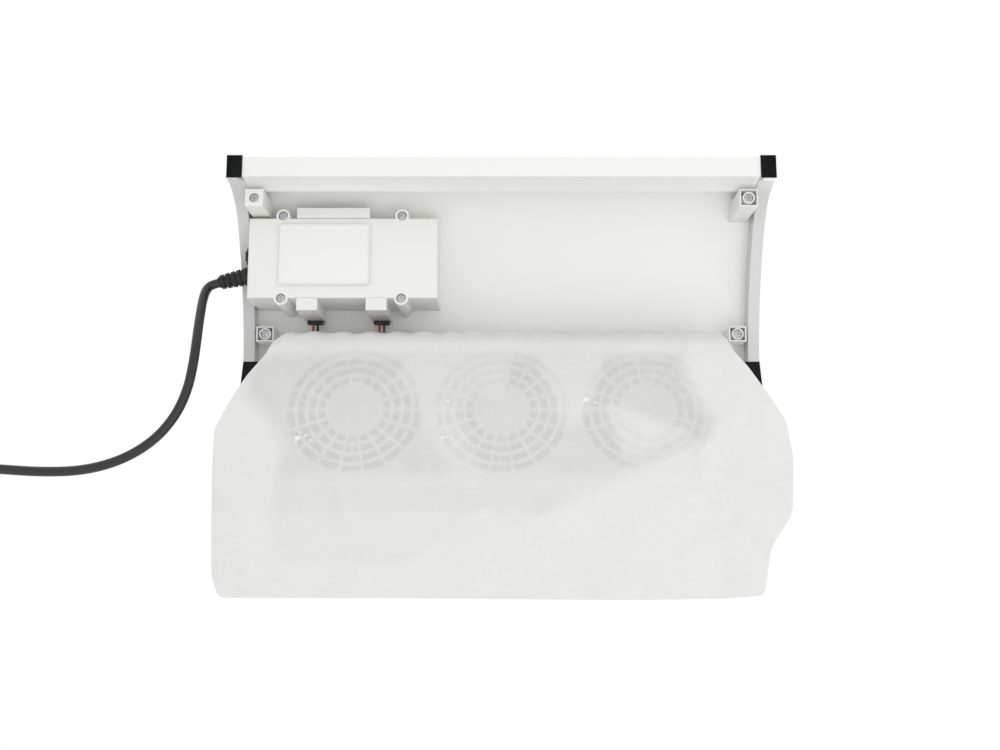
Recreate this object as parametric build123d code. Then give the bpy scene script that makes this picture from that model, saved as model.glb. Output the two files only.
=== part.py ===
from build123d import *

import math
import os

# Desktop dust collector for manicure work, in millimetres.
# The arched case stands on a table at z = 0 with its three fans on the front slope.
# +X is the side where the mains lead comes out, -Y is the front, +Z is up.

# Fans, each a square axial fan hung under the slope
FAN_SIDE = 92.0
FAN_GAP = 3.0
FAN_PITCH = FAN_SIDE + FAN_GAP
FAN_THICKNESS = 25.0
FAN_RIM = 2.0
FAN_DUCT_RADIUS = FAN_SIDE / 2 - FAN_RIM
FAN_CORNER_RADIUS = 5.0
FAN_HOLE_INSET = 4.75
FAN_HOLE_PITCH = FAN_SIDE - 2 * FAN_HOLE_INSET
FAN_HOLE_RADIUS = 2.15
FAN_FLANGE = 4.0
HUB_RADIUS = 19.0
HUB_WALL = 2.0
BLADE_COUNT = 9
BLADE_CHORD = 36.0
BLADE_THICKNESS = 1.4
BLADE_ROOT_PITCH = 44.0
BLADE_TIP_PITCH = 25.0
TIP_GAP = 1.4
SHAFT_RADIUS = 1.5
SHAFT_CLEARANCE = 0.03
BEARING_RADIUS = 4.0
BEARING_TUBE_WALL = 1.5
STATOR_GAP = 1.5
STATOR_POLES = 4
STRUT_COUNT = 4
STRUT_WIDTH = 5.0
STRUT_THICKNESS = 2.5
STRUT_BITE = 1.0
STATOR_RIM = 2.5
STATOR_SLOT = 3.5
STATOR_LIMB = 6.0
STATOR_CORE = 3.0
HUB_ROUND = 1.2
ROTOR_BOSS_RADIUS = 3.5
LONG_SCREW_RADIUS = 2.0
LONG_SCREW_HEAD = 1.2
LONG_SCREW_BITE = 1.8
SCREW_BOSS_RADIUS = 4.4
AXIAL_GAP = 1.0

# Round intake grilles clipped into the slope from above
GRILLE_LAND = 2.8
GRILLE_FLANGE_RADIUS = FAN_DUCT_RADIUS + GRILLE_LAND
GRILLE_FLANGE = 1.4
GRILLE_COLLAR = 1.4
GRILLE_SEAT = 1.5
GRILLE_RINGS = 5
GRILLE_RING_WIDTH = 1.8
GRILLE_HUB_RADIUS = 12.0
GRILLE_SPOKES = 6
GRILLE_SPOKE_WIDTH = 2.2

# Exhaust frame under the fans, with a guard below each fan and a lip for the bag
FRAME_END_MARGIN = 4.0
FRAME_SIDE_MARGIN = 6.5
FRAME_LENGTH = 2 * FAN_PITCH + FAN_SIDE + 2 * FRAME_END_MARGIN
FRAME_WIDTH = FAN_SIDE + 2 * FRAME_SIDE_MARGIN
FRAME_CORNER = 8.0
FRAME_WALL = 2.0
FRAME_FLOOR = 2.5
FRAME_LIP = 1.6
FRAME_LIP_HEIGHT = 3.0
GUARD_MARGIN = 0.5
GUARD_RADIUS = FAN_DUCT_RADIUS - GUARD_MARGIN
GUARD_HUB_RADIUS = 16.5
GUARD_RINGS = 4
GUARD_RING_WIDTH = 2.2
GUARD_SPOKES = 18
GUARD_SPOKE_WIDTH = 1.8

# Case outline round the exhaust frame, measured forward from the outer face of the back rail
FOOT_WIDTH = 10.0
FRAME_TO_FOOT = 20.0
CASE_WIDTH = FRAME_LENGTH + 2 * (FRAME_TO_FOOT + FOOT_WIDTH)
CROWN_AT = 123.0
CROWN_LEAD = 17.0
ARCH_RUN = CROWN_AT + CROWN_LEAD
ARCH_RISE = 79.0
BACK_ROUND_SHARE = 0.6962
BACK_RADIUS = BACK_ROUND_SHARE * ARCH_RISE
CROWN_RADIUS = 22.0
FAN_SLOPE = 17.0
FRAME_BEHIND_CROWN = 5.2
FRAME_REACH = FRAME_WIDTH * math.cos(math.radians(FAN_SLOPE))
FAN_AT = CROWN_AT - FRAME_BEHIND_CROWN + FRAME_REACH / 2
NOSE_MARGIN = 7.8
CASE_DEPTH = CROWN_AT - FRAME_BEHIND_CROWN + FRAME_REACH + NOSE_MARGIN
NOSE_RADIUS = 15.0
SHELL_WALL = 3.0
APRON_HEIGHT = 27.0
BAND_DEPTH = 15.0
SIDE_THICKNESS = 7.5
RAIL_HEIGHT = 18.0
FOOT_HEIGHT = 4.0
RAIL_LIFT = 0.6
RAIL_INSET = 1.0
SIDE_GROOVE = 1.0
SIDE_GROOVE_MARGIN = 4.0
SEAM = 0.2

# Power box under the hand rest, placed from the side of the case, the crown and the arch
BOX_SIDE_GAP = 8.5
BOX_LENGTH = 124.5
BOX_OUTER_END = CASE_WIDTH / 2 - BOX_SIDE_GAP
BOX_INNER_END = BOX_OUTER_END - BOX_LENGTH
BOX_BACK_AT = 32.3
BOX_TO_CROWN = 36.6
BOX_FRONT_AT = CROWN_AT - BOX_TO_CROWN
BOX_FLOOR_SHARE = 0.37975
BOX_FLOOR_Z = BOX_FLOOR_SHARE * ARCH_RISE
BOX_WALL = 2.0
BOX_EDGE = 1.2
TAB_INSETS = (79.5, 31.5)
TAB_REACH = 6.9
TAB_THICKNESS = 3.0
EAR_RADIUS = 4.6
EAR_REACH = 1.5
EAR_OUTER_INSET = 22.3
EAR_INNER_INSET = 23.6
ARM_WIDTH = 13.6
ARM_REACH = 8.0
ARM_INSETS = (39.4, 84.7)
ARM_WALL = 1.6
SLOT_WIDTH = 10.6
SLOT_HEIGHT = 4.4
SLOT_BELOW_SHELL = 5.4
CONNECTOR_REACH = 2.4
BOARD_THICKNESS = 1.6
BOARD_STANDOFF = 4.0
BOARD_INNER_MARGIN = 14.0
BOARD_OUTER_MARGIN = 21.5
BOARD_BACK_MARGIN = 6.7
BOARD_FRONT_MARGIN = 5.4
BOARD_PEG_INSET = 5.0
TRANSFORMER_INSETS = (50.5, 16.9)
TRANSFORMER_CORE = (32.0, 19.0, 15.0)
TRANSFORMER_WINDING = (20.0, 23.5, 12.0)
TRANSFORMER_CHAMFER = 2.0
CAPACITOR_INSETS = (91.5, 18.4)
CAPACITOR_RADIUS = 6.5
CAPACITOR_HEIGHT = 16.0
EDGE_ROUND = 1.0
CONNECTOR_WALL = 1.2
CONNECTOR_DEPTH = 1.6
LEAD_RADIUS = 0.8
LEAD_PITCH = 3.2
CLIP_SIZE = (12.0, 6.0, 3.0)
CLIP_INSET = 108.5
CLIP_TO_CROWN = 21.5

# Rocker switch and lead outlet in the outer end of the power box
SWITCH_INSET = 28.9
SWITCH_RISE = 8.6
SWITCH_BEZEL = (10.0, 15.0, 0.9)
SWITCH_BODY = (8.6, 13.2, 12.0)
ROCKER_SIZE = (6.2, 11.0)
ROCKER_PROUD = 2.2
ROCKER_TILT = 9.0
ROCKER_SIDE_GAP = 0.5
ROCKER_END_GAP = 0.7
ROCKER_EDGE = 0.2
ROCKER_PIN_RADIUS = 1.0
ROCKER_PIN_LENGTH = 8.0
ROCKER_PIVOT = -1.2
ROCKER_WELL = 4.0
ROCKER_SOLE = 0.8
ROCKER_WEB = (2.6, 2.0)
BEZEL_CORNER = 1.0
GLAND_INSET = 16.7
GLAND_RISE = 9.0
GLAND_FLANGE_RADIUS = 6.3
GLAND_FLANGE = 2.0
GLAND_NECK_RADIUS = 4.4
GLAND_LENGTH = 19.0
GLAND_RIBS = 5
GLAND_TIP_RADIUS = 4.6
GLAND_TURN = 13.0
GLAND_GRIP = 4.0
GLAND_RIB_DEPTH = 1.2
GLAND_RIB_SHARE = 0.62
GLAND_RIB_SLOPE = 0.2
GLAND_CLIP = 2.0

# Corner blocks that screw the side pieces to the shell
BLOCK_WIDTH = 11.6
BACK_BLOCK = (19.2, 30.6, 10.0)
FRONT_BLOCK_TO_CROWN = (22.8, 12.6)
FRONT_BLOCK_DROP = 24.0
SCREW_RADIUS = 1.5
SCREW_HEAD_RADIUS = 2.9
SCREW_HEAD = 2.0
SCREW_LENGTH = 12.0
SCREW_RECESS = 1.0

# Dust bag: hem round the exhaust frame, body sagging to the table.
# Each point of its edge is given past the case side and as a share of the way from fans to front edge.
BAG_SHOWS = 52.0
BAG_REACH = CASE_DEPTH + BAG_SHOWS
BAG_SKIN = 0.7
BAG_HEM = 1.2
BAG_HEM_HEIGHT = 10.0
BAG_CORNER = 22.0
BAG_TENT_OVER = 13.0
BAG_TENT_BEHIND = 36.0
BAG_TENT_INSET = 23.0
BAG_EDGE_CORD_SIDE = [
    (-17.0, -0.364),
    (-5.0, -0.164),
    (2.0, 0.036),
    (3.0, 0.336),
    (0.5, 0.855),
    (-6.0, 1.0),
]
BAG_EDGE_FAR_SIDE = [
    (-18.0, 1.0),
    (-13.0, 0.7),
    (-2.0, 0.455),
    (3.0, 0.218),
    (0.0, 0.0),
    (-7.0, -0.182),
    (-17.0, -0.364),
]
ELASTIC_HEIGHT = 3.0

# Mains lead: each point past the case side, forward of the outlet, and as a share of the outlet's height
CORD_RADIUS = 3.0
CORD_ROUTE = [
    (22.0, 10.8, 0.902),
    (23.4, 19.3, 0.721),
    (22.2, 28.8, 0.497),
    (20.0, 38.3, 0.302),
    (17.8, 49.3, 0.134),
    (16.6, 62.3, 0.034),
    (18.6, 79.3, 0.0),
    (25.0, 96.3, 0.0),
    (38.0, 112.3, 0.0),
    (57.0, 124.3, 0.0),
    (80.0, 130.8, 0.0),
    (106.0, 131.8, 0.0),
    (135.0, 129.7, 0.011),
]
CORD_BEND_SHARE = 0.45
COIL_PLACE = (189.0, 85.3)
COIL_LEAD_IN = 24.0
COIL_FIRST_RADIUS = 42.9
COIL_STEP = 3.3
COIL_LOWER_TURNS = (0, 1, 2, 3, 4, 5)
COIL_UPPER_TURNS = (6, 3, 2, 1, 0)
COIL_LAYER = 6.7
TIE_THICKNESS = 0.8
TIE_WIDTH = 12.0
TIE_CLEARANCE = 0.3
PLUG_WIDTH = 35.3
PLUG_THICKNESS = 13.7
PLUG_LENGTH = 36.0
PLUG_NECK_RADIUS = 5.2
PLUG_WAIST = 0.42
PLUG_WAIST_WIDTH = 0.62
PLUG_WAIST_THICKNESS = 0.92
PLUG_CORNER = 5.0
PIN_ROUND = 1.2
PIN_RADIUS = 2.0
PIN_LENGTH = 19.0
PIN_PITCH = 18.6
TAIL_LENGTH = 40.0

os.makedirs("parts", exist_ok=True)
nodes = {}
half_width = CASE_WIDTH / 2
shell_half = half_width - SIDE_THICKNESS
back_y = BAG_REACH / 2
below = -60.0
board_box = (
    BOX_INNER_END + BOARD_INNER_MARGIN,
    BOX_OUTER_END - BOARD_OUTER_MARGIN,
    BOX_BACK_AT + BOARD_BACK_MARGIN,
    BOX_FRONT_AT - BOARD_FRONT_MARGIN,
)
arm_centres = [BOX_OUTER_END - inset_x for inset_x in ARM_INSETS]
switch_at = BOX_FRONT_AT - SWITCH_INSET
switch_z = BOX_FLOOR_Z + SWITCH_RISE
gland_at = BOX_FRONT_AT - GLAND_INSET
gland_z = BOX_FLOOR_Z + GLAND_RISE
front_block = [CROWN_AT - gap for gap in FRONT_BLOCK_TO_CROWN] + [ARCH_RISE - FRONT_BLOCK_DROP]


def at(forward):
    """Y of a place given by its distance forward of the back rail's outer face."""
    return back_y - forward


def keep(name, shape):
    """Write one piece to its own file."""
    nodes[name] = shape
    export_step(shape, f"parts/{name}.step")


def block(x0, x1, forward0, forward1, z0, z1):
    """Box between two X values, two distances from the back and two heights."""
    size = (abs(x1 - x0), abs(forward1 - forward0), z1 - z0)
    place = ((x0 + x1) / 2, at((forward0 + forward1) / 2), (z0 + z1) / 2)
    return Pos(*place) * Box(*size)


def rod(x, forward, z0, z1, radius):
    """Upright cylinder."""
    return Pos(x, at(forward), (z0 + z1) / 2) * Cylinder(radius, z1 - z0)


def mirrored(shape):
    """The same piece on the other side of the case."""
    return mirror(shape, about=Plane.YZ)


def group(shapes):
    """Several separate solids of one kind in one piece."""
    return Compound([solid for shape in shapes for solid in shape.solids()])


# Case profile: two tangent arcs up the back, a crown, the fan slope and the front
long_radius = (ARCH_RUN**2 + ARCH_RISE**2 - 2 * ARCH_RUN * BACK_RADIUS) / (2 * (ARCH_RISE - BACK_RADIUS))
long_centre = (at(ARCH_RUN), ARCH_RISE - long_radius)
short_centre = (at(BACK_RADIUS), 0.0)
join_angle = math.degrees(math.atan2(short_centre[1] - long_centre[1], short_centre[0] - long_centre[0]))
crown_angle = math.degrees(math.acos((at(CROWN_AT) - long_centre[0]) / long_radius))
crown_z = long_centre[1] + long_radius * math.sin(math.radians(crown_angle))
slope_drop = math.tan(math.radians(FAN_SLOPE))
nose_z = crown_z - (CASE_DEPTH - CROWN_AT) * slope_drop


def case_region():
    """Side view of the space under the outer skin, open far below the table."""
    crown = (at(CROWN_AT), crown_z)
    nose = (at(CASE_DEPTH), nose_z)
    outline = [
        CenterArc(short_centre, BACK_RADIUS, 0, join_angle),
        CenterArc(long_centre, long_radius, join_angle, crown_angle - join_angle),
        Line(crown, nose),
        Line(nose, (at(CASE_DEPTH), below)),
        Line((at(CASE_DEPTH), below), (back_y, below)),
        Line((back_y, below), (back_y, 0)),
    ]
    face = make_face(outline)
    for corner, radius in ((crown, CROWN_RADIUS), (nose, NOSE_RADIUS)):
        face = fillet(face.vertices().sort_by_distance(corner)[0], radius)
    return face


region = case_region()


def inset(depth):
    """Side view of the space that lies a given depth under the outer skin."""
    return offset(region, amount=-depth, kind=Kind.INTERSECTION) if depth else region


def slab(profile, x0, x1):
    """Extrude a side view between two X values."""
    return Pos(x0, 0, 0) * extrude(Plane.YZ * profile, amount=x1 - x0)


def shell_top(forward):
    """Height of the outer skin on the long arc."""
    return long_centre[1] + math.sqrt(long_radius**2 - (at(forward) - long_centre[0]) ** 2)


def back_ceiling(forward):
    """Height of the shell's underside on the short arc."""
    return math.sqrt((BACK_RADIUS - SHELL_WALL) ** 2 - (BACK_RADIUS - forward) ** 2)


inside = slab(inset(SHELL_WALL), -shell_half, shell_half)
room_inside = slab(inset(SHELL_WALL + SEAM), -shell_half, shell_half)

# Local frames of the fans: origin on the underside of the slope, z out of the slope
slope_normal = Vector(0, -math.sin(math.radians(FAN_SLOPE)), math.cos(math.radians(FAN_SLOPE)))
slope_z = crown_z - (FAN_AT - CROWN_AT) * slope_drop
slope_middle = Vector(0, at(FAN_AT), slope_z) - slope_normal * SHELL_WALL
fan_offsets = (FAN_PITCH, 0, -FAN_PITCH)
fan_planes = [
    Plane(origin=slope_middle + Vector(x, 0, 0), x_dir=(1, 0, 0), z_dir=slope_normal) for x in fan_offsets
]
frame_plane = fan_planes[1]
fan_names = ("cord_side", "middle", "far_side")
fan_top = -GRILLE_SEAT
fan_bottom = fan_top - FAN_THICKNESS


def disc(radius, z0, z1):
    """Upright cylinder on the local axis."""
    return Pos(0, 0, (z0 + z1) / 2) * Cylinder(radius, z1 - z0)


def ring(outer, inner, z0, z1):
    """Upright tube on the local axis."""
    return disc(outer, z0, z1) - disc(inner, z0, z1)


def slotted_disc(radius, hub, rings, ring_width, spokes, spoke_width):
    """Face of a guard: rings and spokes left standing between sector openings."""
    face = Circle(radius)
    step = (radius - hub) / rings
    spoke_cut = Sketch()
    for k in range(spokes):
        spoke_cut += Rot(0, 0, 360 / spokes * k) * Pos(radius / 2, 0) * Rectangle(radius, spoke_width)
    gaps = Sketch()
    for k in range(rings):
        outer = radius - k * step
        inner = outer - step + ring_width
        gaps += Circle(outer) - Circle(inner)
    return face - (gaps - spoke_cut)


# Shell
shell = slab(region - inset(SHELL_WALL), -shell_half, shell_half)
shell = shell & block(-shell_half, shell_half, 0, CASE_DEPTH, RAIL_HEIGHT, ARCH_RISE + BAND_DEPTH)
shell -= block(-shell_half, shell_half, CROWN_AT, CASE_DEPTH + SEAM, below, APRON_HEIGHT)
shell_blank = shell
grille_hole = FAN_DUCT_RADIUS + GRILLE_COLLAR
fan_corners = [
    Pos(sx * FAN_HOLE_PITCH / 2, sy * FAN_HOLE_PITCH / 2, 0) for sx in (-1, 1) for sy in (-1, 1)
]
for plane in fan_planes:
    shell -= plane * disc(grille_hole, -SHELL_WALL, 2 * SHELL_WALL)
    for corner in fan_corners:
        shell += plane * corner * disc(SCREW_BOSS_RADIUS, fan_top, 0)
        shell -= plane * corner * disc(LONG_SCREW_RADIUS, fan_top, LONG_SCREW_BITE)
keep("top_shell", shell)

# Back rail between the feet
rail_end = half_width - FOOT_WIDTH
rail = slab(inset(RAIL_INSET) - inset(BAND_DEPTH - RAIL_INSET), -rail_end, rail_end)
rail = rail & block(-rail_end, rail_end, -SEAM, BAND_DEPTH * 2, RAIL_LIFT, RAIL_HEIGHT)
keep("back_rail", rail)

# Side pieces: back foot, side band and front leg on each side
band_profile = region - inset(BAND_DEPTH)
band = slab(band_profile, half_width - FOOT_WIDTH, half_width) - shell_blank
groove_profile = inset(SIDE_GROOVE_MARGIN) - inset(BAND_DEPTH - SIDE_GROOVE_MARGIN)
groove = slab(groove_profile, half_width - SIDE_GROOVE, half_width)
everything = (-half_width, half_width)
top_z = ARCH_RISE + BAND_DEPTH
foot = band & block(*everything, -SEAM, CROWN_AT, 0, FOOT_HEIGHT)
side = band & block(shell_half, half_width, -SEAM, CROWN_AT, RAIL_HEIGHT, top_z)
side += band & block(rail_end, half_width, -SEAM, CROWN_AT, FOOT_HEIGHT, RAIL_HEIGHT)
leg = band & block(*everything, CROWN_AT, CASE_DEPTH + SEAM, BAG_SKIN, top_z)
side -= groove
leg -= groove & block(*everything, CROWN_AT, CASE_DEPTH + SEAM, APRON_HEIGHT, top_z)
for side_name, turn in (("cord_side", lambda s: s), ("far_side", mirrored)):
    keep(f"back_foot_{side_name}", turn(foot))
    keep(f"side_band_{side_name}", turn(side))
    keep(f"front_leg_{side_name}", turn(leg))


# Screws
def screw(head_radius, head, radius, length):
    """Pan head screw, head down, with its bearing face at z = 0."""
    body = disc(radius, 0, length)
    cap = disc(head_radius, -head, 0)
    cap = fillet(cap.edges().group_by(Axis.Z)[0], head * 0.45)
    cross = Box(head_radius * 1.2, head * 0.45, head) + Box(head * 0.45, head_radius * 1.2, head)
    return body + cap - Pos(0, 0, -head) * cross


case_screw = screw(SCREW_HEAD_RADIUS, SCREW_HEAD, SCREW_RADIUS, SCREW_LENGTH)
screw_hole = disc(SCREW_RADIUS, 0, SCREW_LENGTH)
screw_well = disc(SCREW_HEAD_RADIUS + SEAM, -SCREW_HEAD - SCREW_RECESS - SEAM, 0)

# Corner blocks
corner_screws = []
block_inner = half_width - FOOT_WIDTH - BLOCK_WIDTH
for place, (near, far, floor) in (("back", BACK_BLOCK), ("front", front_block)):
    body = block(block_inner, half_width - FOOT_WIDTH, near, far, floor, top_z) & inside
    bearing_z = floor + SCREW_HEAD + SCREW_RECESS
    middle = Pos(block_inner + BLOCK_WIDTH / 2, at((near + far) / 2), bearing_z)
    body -= middle * (screw_hole + screw_well)
    keep(f"corner_block_{place}_cord_side", body)
    keep(f"corner_block_{place}_far_side", mirrored(body))
    corner_screws += [middle * case_screw, mirrored(middle * case_screw)]
keep("corner_screws", group(corner_screws))

# Power box cover: an open-topped tray pushed up against the curved shell
cover = block(BOX_INNER_END, BOX_OUTER_END, BOX_BACK_AT, BOX_FRONT_AT, BOX_FLOOR_Z, top_z)
cover = fillet(cover.edges().group_by(Axis.Z)[0], BOX_EDGE)
ear_ends = (BOX_OUTER_END - EAR_OUTER_INSET, BOX_INNER_END + EAR_INNER_INSET)
back_ear = BOX_BACK_AT - EAR_REACH
ears = [(x, f) for f in (back_ear, BOX_FRONT_AT) for x in ear_ends]
for x, f in ears:
    cover += rod(x, f, BOX_FLOOR_Z, top_z, EAR_RADIUS)
arm_front = BOX_FRONT_AT + ARM_REACH
for x in arm_centres:
    cover += block(x - ARM_WIDTH / 2, x + ARM_WIDTH / 2, BOX_FRONT_AT, arm_front, BOX_FLOOR_Z, top_z)
hollow = block(
    BOX_INNER_END + BOX_WALL,
    BOX_OUTER_END - BOX_WALL,
    BOX_BACK_AT + BOX_WALL,
    BOX_FRONT_AT - BOX_WALL,
    BOX_FLOOR_Z + BOX_WALL,
    top_z,
)
for x, f in ears:
    hollow -= rod(x, f, BOX_FLOOR_Z, top_z, EAR_RADIUS)
for x in arm_centres:
    half = ARM_WIDTH / 2 - ARM_WALL
    duct_floor = BOX_FLOOR_Z + BOX_WALL
    duct_ends = (BOX_FRONT_AT - 2 * BOX_WALL, arm_front - ARM_WALL)
    hollow += block(x - half, x + half, *duct_ends, duct_floor, top_z)
cover -= hollow
tab_x0, tab_x1 = (BOX_OUTER_END - inset_x for inset_x in TAB_INSETS)
tab_z = (BOX_FLOOR_Z, BOX_FLOOR_Z + TAB_THICKNESS)
cover += block(tab_x0, tab_x1, BOX_BACK_AT - TAB_REACH, BOX_BACK_AT, *tab_z)
cover = cover & inside
slot_z = shell_top(arm_front) - SHELL_WALL - SLOT_BELOW_SHELL
for x in arm_centres:
    slot = (x - SLOT_WIDTH / 2, x + SLOT_WIDTH / 2, arm_front - 2 * ARM_WALL, arm_front + SEAM)
    cover -= block(*slot, slot_z - SLOT_HEIGHT / 2, slot_z + SLOT_HEIGHT / 2)
switch_hole = block(
    BOX_OUTER_END - 2 * BOX_WALL,
    BOX_OUTER_END + SEAM,
    switch_at - SWITCH_BODY[0] / 2,
    switch_at + SWITCH_BODY[0] / 2,
    switch_z - SWITCH_BODY[1] / 2,
    switch_z + SWITCH_BODY[1] / 2,
)
gland_place = Pos(BOX_OUTER_END, at(gland_at), gland_z) * Rot(0, 90, 0)
cover -= switch_hole
cover -= gland_place * disc(GLAND_NECK_RADIUS, -2 * BOX_WALL, SEAM)
box_screws = []
bearing_z = BOX_FLOOR_Z + SCREW_HEAD + SCREW_RECESS
box_screw_length = back_ceiling(back_ear - SCREW_RADIUS) - SEAM - bearing_z
box_screw = screw(SCREW_HEAD_RADIUS, SCREW_HEAD, SCREW_RADIUS, box_screw_length)
for x, f in ears:
    place = Pos(x, at(f), bearing_z)
    cover -= place * (disc(SCREW_RADIUS, 0, box_screw_length) + screw_well)
    box_screws.append(place * box_screw)
standoff_z = BOX_FLOOR_Z + BOX_WALL
board_z = standoff_z + BOARD_STANDOFF
board_x0, board_x1, board_back, board_front = board_box
for x in (board_x0 + BOARD_PEG_INSET, board_x1 - BOARD_PEG_INSET):
    for f in (board_back + BOARD_PEG_INSET, board_front - BOARD_PEG_INSET):
        cover += rod(x, f, standoff_z, board_z, SCREW_HEAD_RADIUS)
keep("power_box_cover", cover)
keep("power_box_screws", group(box_screws))

# Driver board with its transformer and capacitor, and the lead connectors in the arms
board_top = board_z + BOARD_THICKNESS
keep("driver_board", block(*board_box, board_z, board_top))
inset_x, inset_front = TRANSFORMER_INSETS
on_board = Pos(BOX_OUTER_END - inset_x, at(BOX_FRONT_AT - inset_front), board_top)
seated = (Align.CENTER, Align.CENTER, Align.MIN)
core = on_board * Box(*TRANSFORMER_CORE, align=seated)
core = chamfer(core.edges().filter_by(Axis.Z), TRANSFORMER_CHAMFER)
winding = on_board * Box(*TRANSFORMER_WINDING, align=seated)
keep("transformer", fillet((core + winding).edges().filter_by(Axis.X).group_by(Axis.Z)[-1], EDGE_ROUND))
inset_x, inset_front = CAPACITOR_INSETS
can_place = (BOX_OUTER_END - inset_x, BOX_FRONT_AT - inset_front)
can = rod(*can_place, board_top, board_top + CAPACITOR_HEIGHT, CAPACITOR_RADIUS)
keep("capacitor", fillet(can.edges().group_by(Axis.Z)[-1], EDGE_ROUND))
slot_low = slot_z - SLOT_HEIGHT / 2
slot_high = slot_z + SLOT_HEIGHT / 2
connector_front = arm_front + CONNECTOR_REACH
connector_floor = connector_front - CONNECTOR_DEPTH
for name, x in zip(("outer", "inner"), arm_centres):
    half = SLOT_WIDTH / 2
    plug = block(x - half, x + half, arm_front - 2 * ARM_WALL, connector_front, slot_low, slot_high)
    half -= CONNECTOR_WALL
    recess = (slot_low + CONNECTOR_WALL, slot_high - CONNECTOR_WALL)
    plug -= block(x - half, x + half, connector_floor, connector_front + SEAM, *recess)
    keep(f"lead_connector_{name}", plug)

# Rocker switch: housing with bezel, and a paddle on a cross pin
bezel_w, bezel_h, bezel_t = SWITCH_BEZEL
body_w, body_h, body_d = SWITCH_BODY
switch_plane = Plane(origin=(BOX_OUTER_END, at(switch_at), switch_z), x_dir=(0, 1, 0), z_dir=(1, 0, 0))
housing = extrude(RectangleRounded(bezel_w, bezel_h, BEZEL_CORNER), bezel_t)
housing += Pos(0, 0, -body_d / 2) * Box(body_w, body_h, body_d)
rocker_w, rocker_h = ROCKER_SIZE
well_w = rocker_w + 2 * ROCKER_SIDE_GAP
well_h = rocker_h + 2 * ROCKER_END_GAP
housing -= Pos(0, 0, bezel_t) * Box(well_w, well_h, 2 * (bezel_t + ROCKER_WELL))
pivot = Pos(0, 0, ROCKER_PIVOT)
pin = pivot * Rot(0, 90, 0) * Cylinder(ROCKER_PIN_RADIUS, ROCKER_PIN_LENGTH)
housing -= pivot * Rot(0, 90, 0) * Cylinder(ROCKER_PIN_RADIUS + SHAFT_CLEARANCE, ROCKER_PIN_LENGTH + SEAM)
keep("switch_housing", switch_plane * housing)
lift = ROCKER_PROUD + bezel_t
tilt_drop = rocker_h / 2 * math.sin(math.radians(ROCKER_TILT))
paddle_outline = make_face(
    Polyline(
        (-rocker_h / 2, -ROCKER_SOLE),
        (rocker_h / 2, -ROCKER_SOLE),
        (rocker_h / 2 - ROCKER_EDGE, lift),
        (0, lift - tilt_drop),
        (-rocker_h / 2 + ROCKER_EDGE, lift),
        close=True,
    )
)
paddle = extrude(Plane.YZ * paddle_outline, rocker_w / 2, both=True)
paddle += pin + pivot * Box(rocker_w, *ROCKER_WEB)
paddle = pivot * Rot(ROCKER_TILT, 0, 0) * pivot.inverse() * paddle
keep("switch_rocker", switch_plane * paddle)

# Lead outlet: flanged neck in the wall and a ribbed tapering sleeve
neck = disc(GLAND_FLANGE_RADIUS, 0, GLAND_FLANGE) + disc(GLAND_NECK_RADIUS, -BOX_WALL, 0)
neck += disc(GLAND_FLANGE_RADIUS - SEAM, -BOX_WALL - GLAND_CLIP, -BOX_WALL)
rib_pitch = GLAND_LENGTH / GLAND_RIBS
rib_radius = GLAND_FLANGE_RADIUS - 2 * SEAM
sleeve_points = [(0, 0)]
for k in range(GLAND_RIBS):
    outer = rib_radius - (rib_radius - GLAND_TIP_RADIUS) * k / GLAND_RIBS
    start = k * rib_pitch
    crest = start + rib_pitch * GLAND_RIB_SHARE
    sleeve_points += [(outer, start), (outer - GLAND_RIB_SLOPE, crest)]
    sleeve_points += [(outer - GLAND_RIB_DEPTH, crest), (outer - GLAND_RIB_DEPTH, start + rib_pitch)]
sleeve_points += [(0, GLAND_LENGTH)]
sleeve = revolve(Plane.XZ * make_face(Polyline(*sleeve_points, close=True)), Axis.Z)
lean = Pos(0, 0, GLAND_FLANGE) * Rot(GLAND_TURN, 0, 0)
gland = neck + lean * sleeve
gland -= lean * disc(CORD_RADIUS, GLAND_LENGTH - GLAND_GRIP, GLAND_LENGTH + SEAM)
gland_frame = Plane(origin=(BOX_OUTER_END, at(gland_at), gland_z), x_dir=(0, 0, -1), z_dir=(1, 0, 0))
keep("cord_gland", gland_frame * gland)

# Intake grilles
grille_face = slotted_disc(
    FAN_DUCT_RADIUS, GRILLE_HUB_RADIUS, GRILLE_RINGS, GRILLE_RING_WIDTH, GRILLE_SPOKES, GRILLE_SPOKE_WIDTH
)
grille = Pos(0, 0, SHELL_WALL) * extrude(grille_face, GRILLE_FLANGE)
grille += ring(GRILLE_FLANGE_RADIUS, FAN_DUCT_RADIUS, SHELL_WALL, SHELL_WALL + GRILLE_FLANGE)
grille += ring(grille_hole - SEAM / 2, FAN_DUCT_RADIUS, fan_top, SHELL_WALL)
for name, plane in zip(fan_names, fan_planes):
    keep(f"intake_grille_{name}", plane * grille)

# Fan housing: two square flanges, a round barrel, four struts and the bearing tube
fan_square = RectangleRounded(FAN_SIDE, FAN_SIDE, FAN_CORNER_RADIUS)
fan_square -= Sketch() + [corner * Circle(FAN_HOLE_RADIUS) for corner in fan_corners]
fan_square -= Circle(FAN_DUCT_RADIUS)
housing = Pos(0, 0, fan_bottom) * extrude(fan_square, FAN_FLANGE)
housing += Pos(0, 0, fan_top - FAN_FLANGE) * extrude(fan_square, FAN_FLANGE)
housing += ring(FAN_SIDE / 2, FAN_DUCT_RADIUS, fan_bottom + FAN_FLANGE, fan_top - FAN_FLANGE)
plate_top = fan_bottom + STRUT_THICKNESS
strut_face = Circle(HUB_RADIUS)
for k in range(STRUT_COUNT):
    reach = FAN_DUCT_RADIUS + STRUT_BITE
    strut_face += Rot(0, 0, 360 / STRUT_COUNT * k) * Pos(reach / 2, 0) * Rectangle(reach, STRUT_WIDTH)
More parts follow.
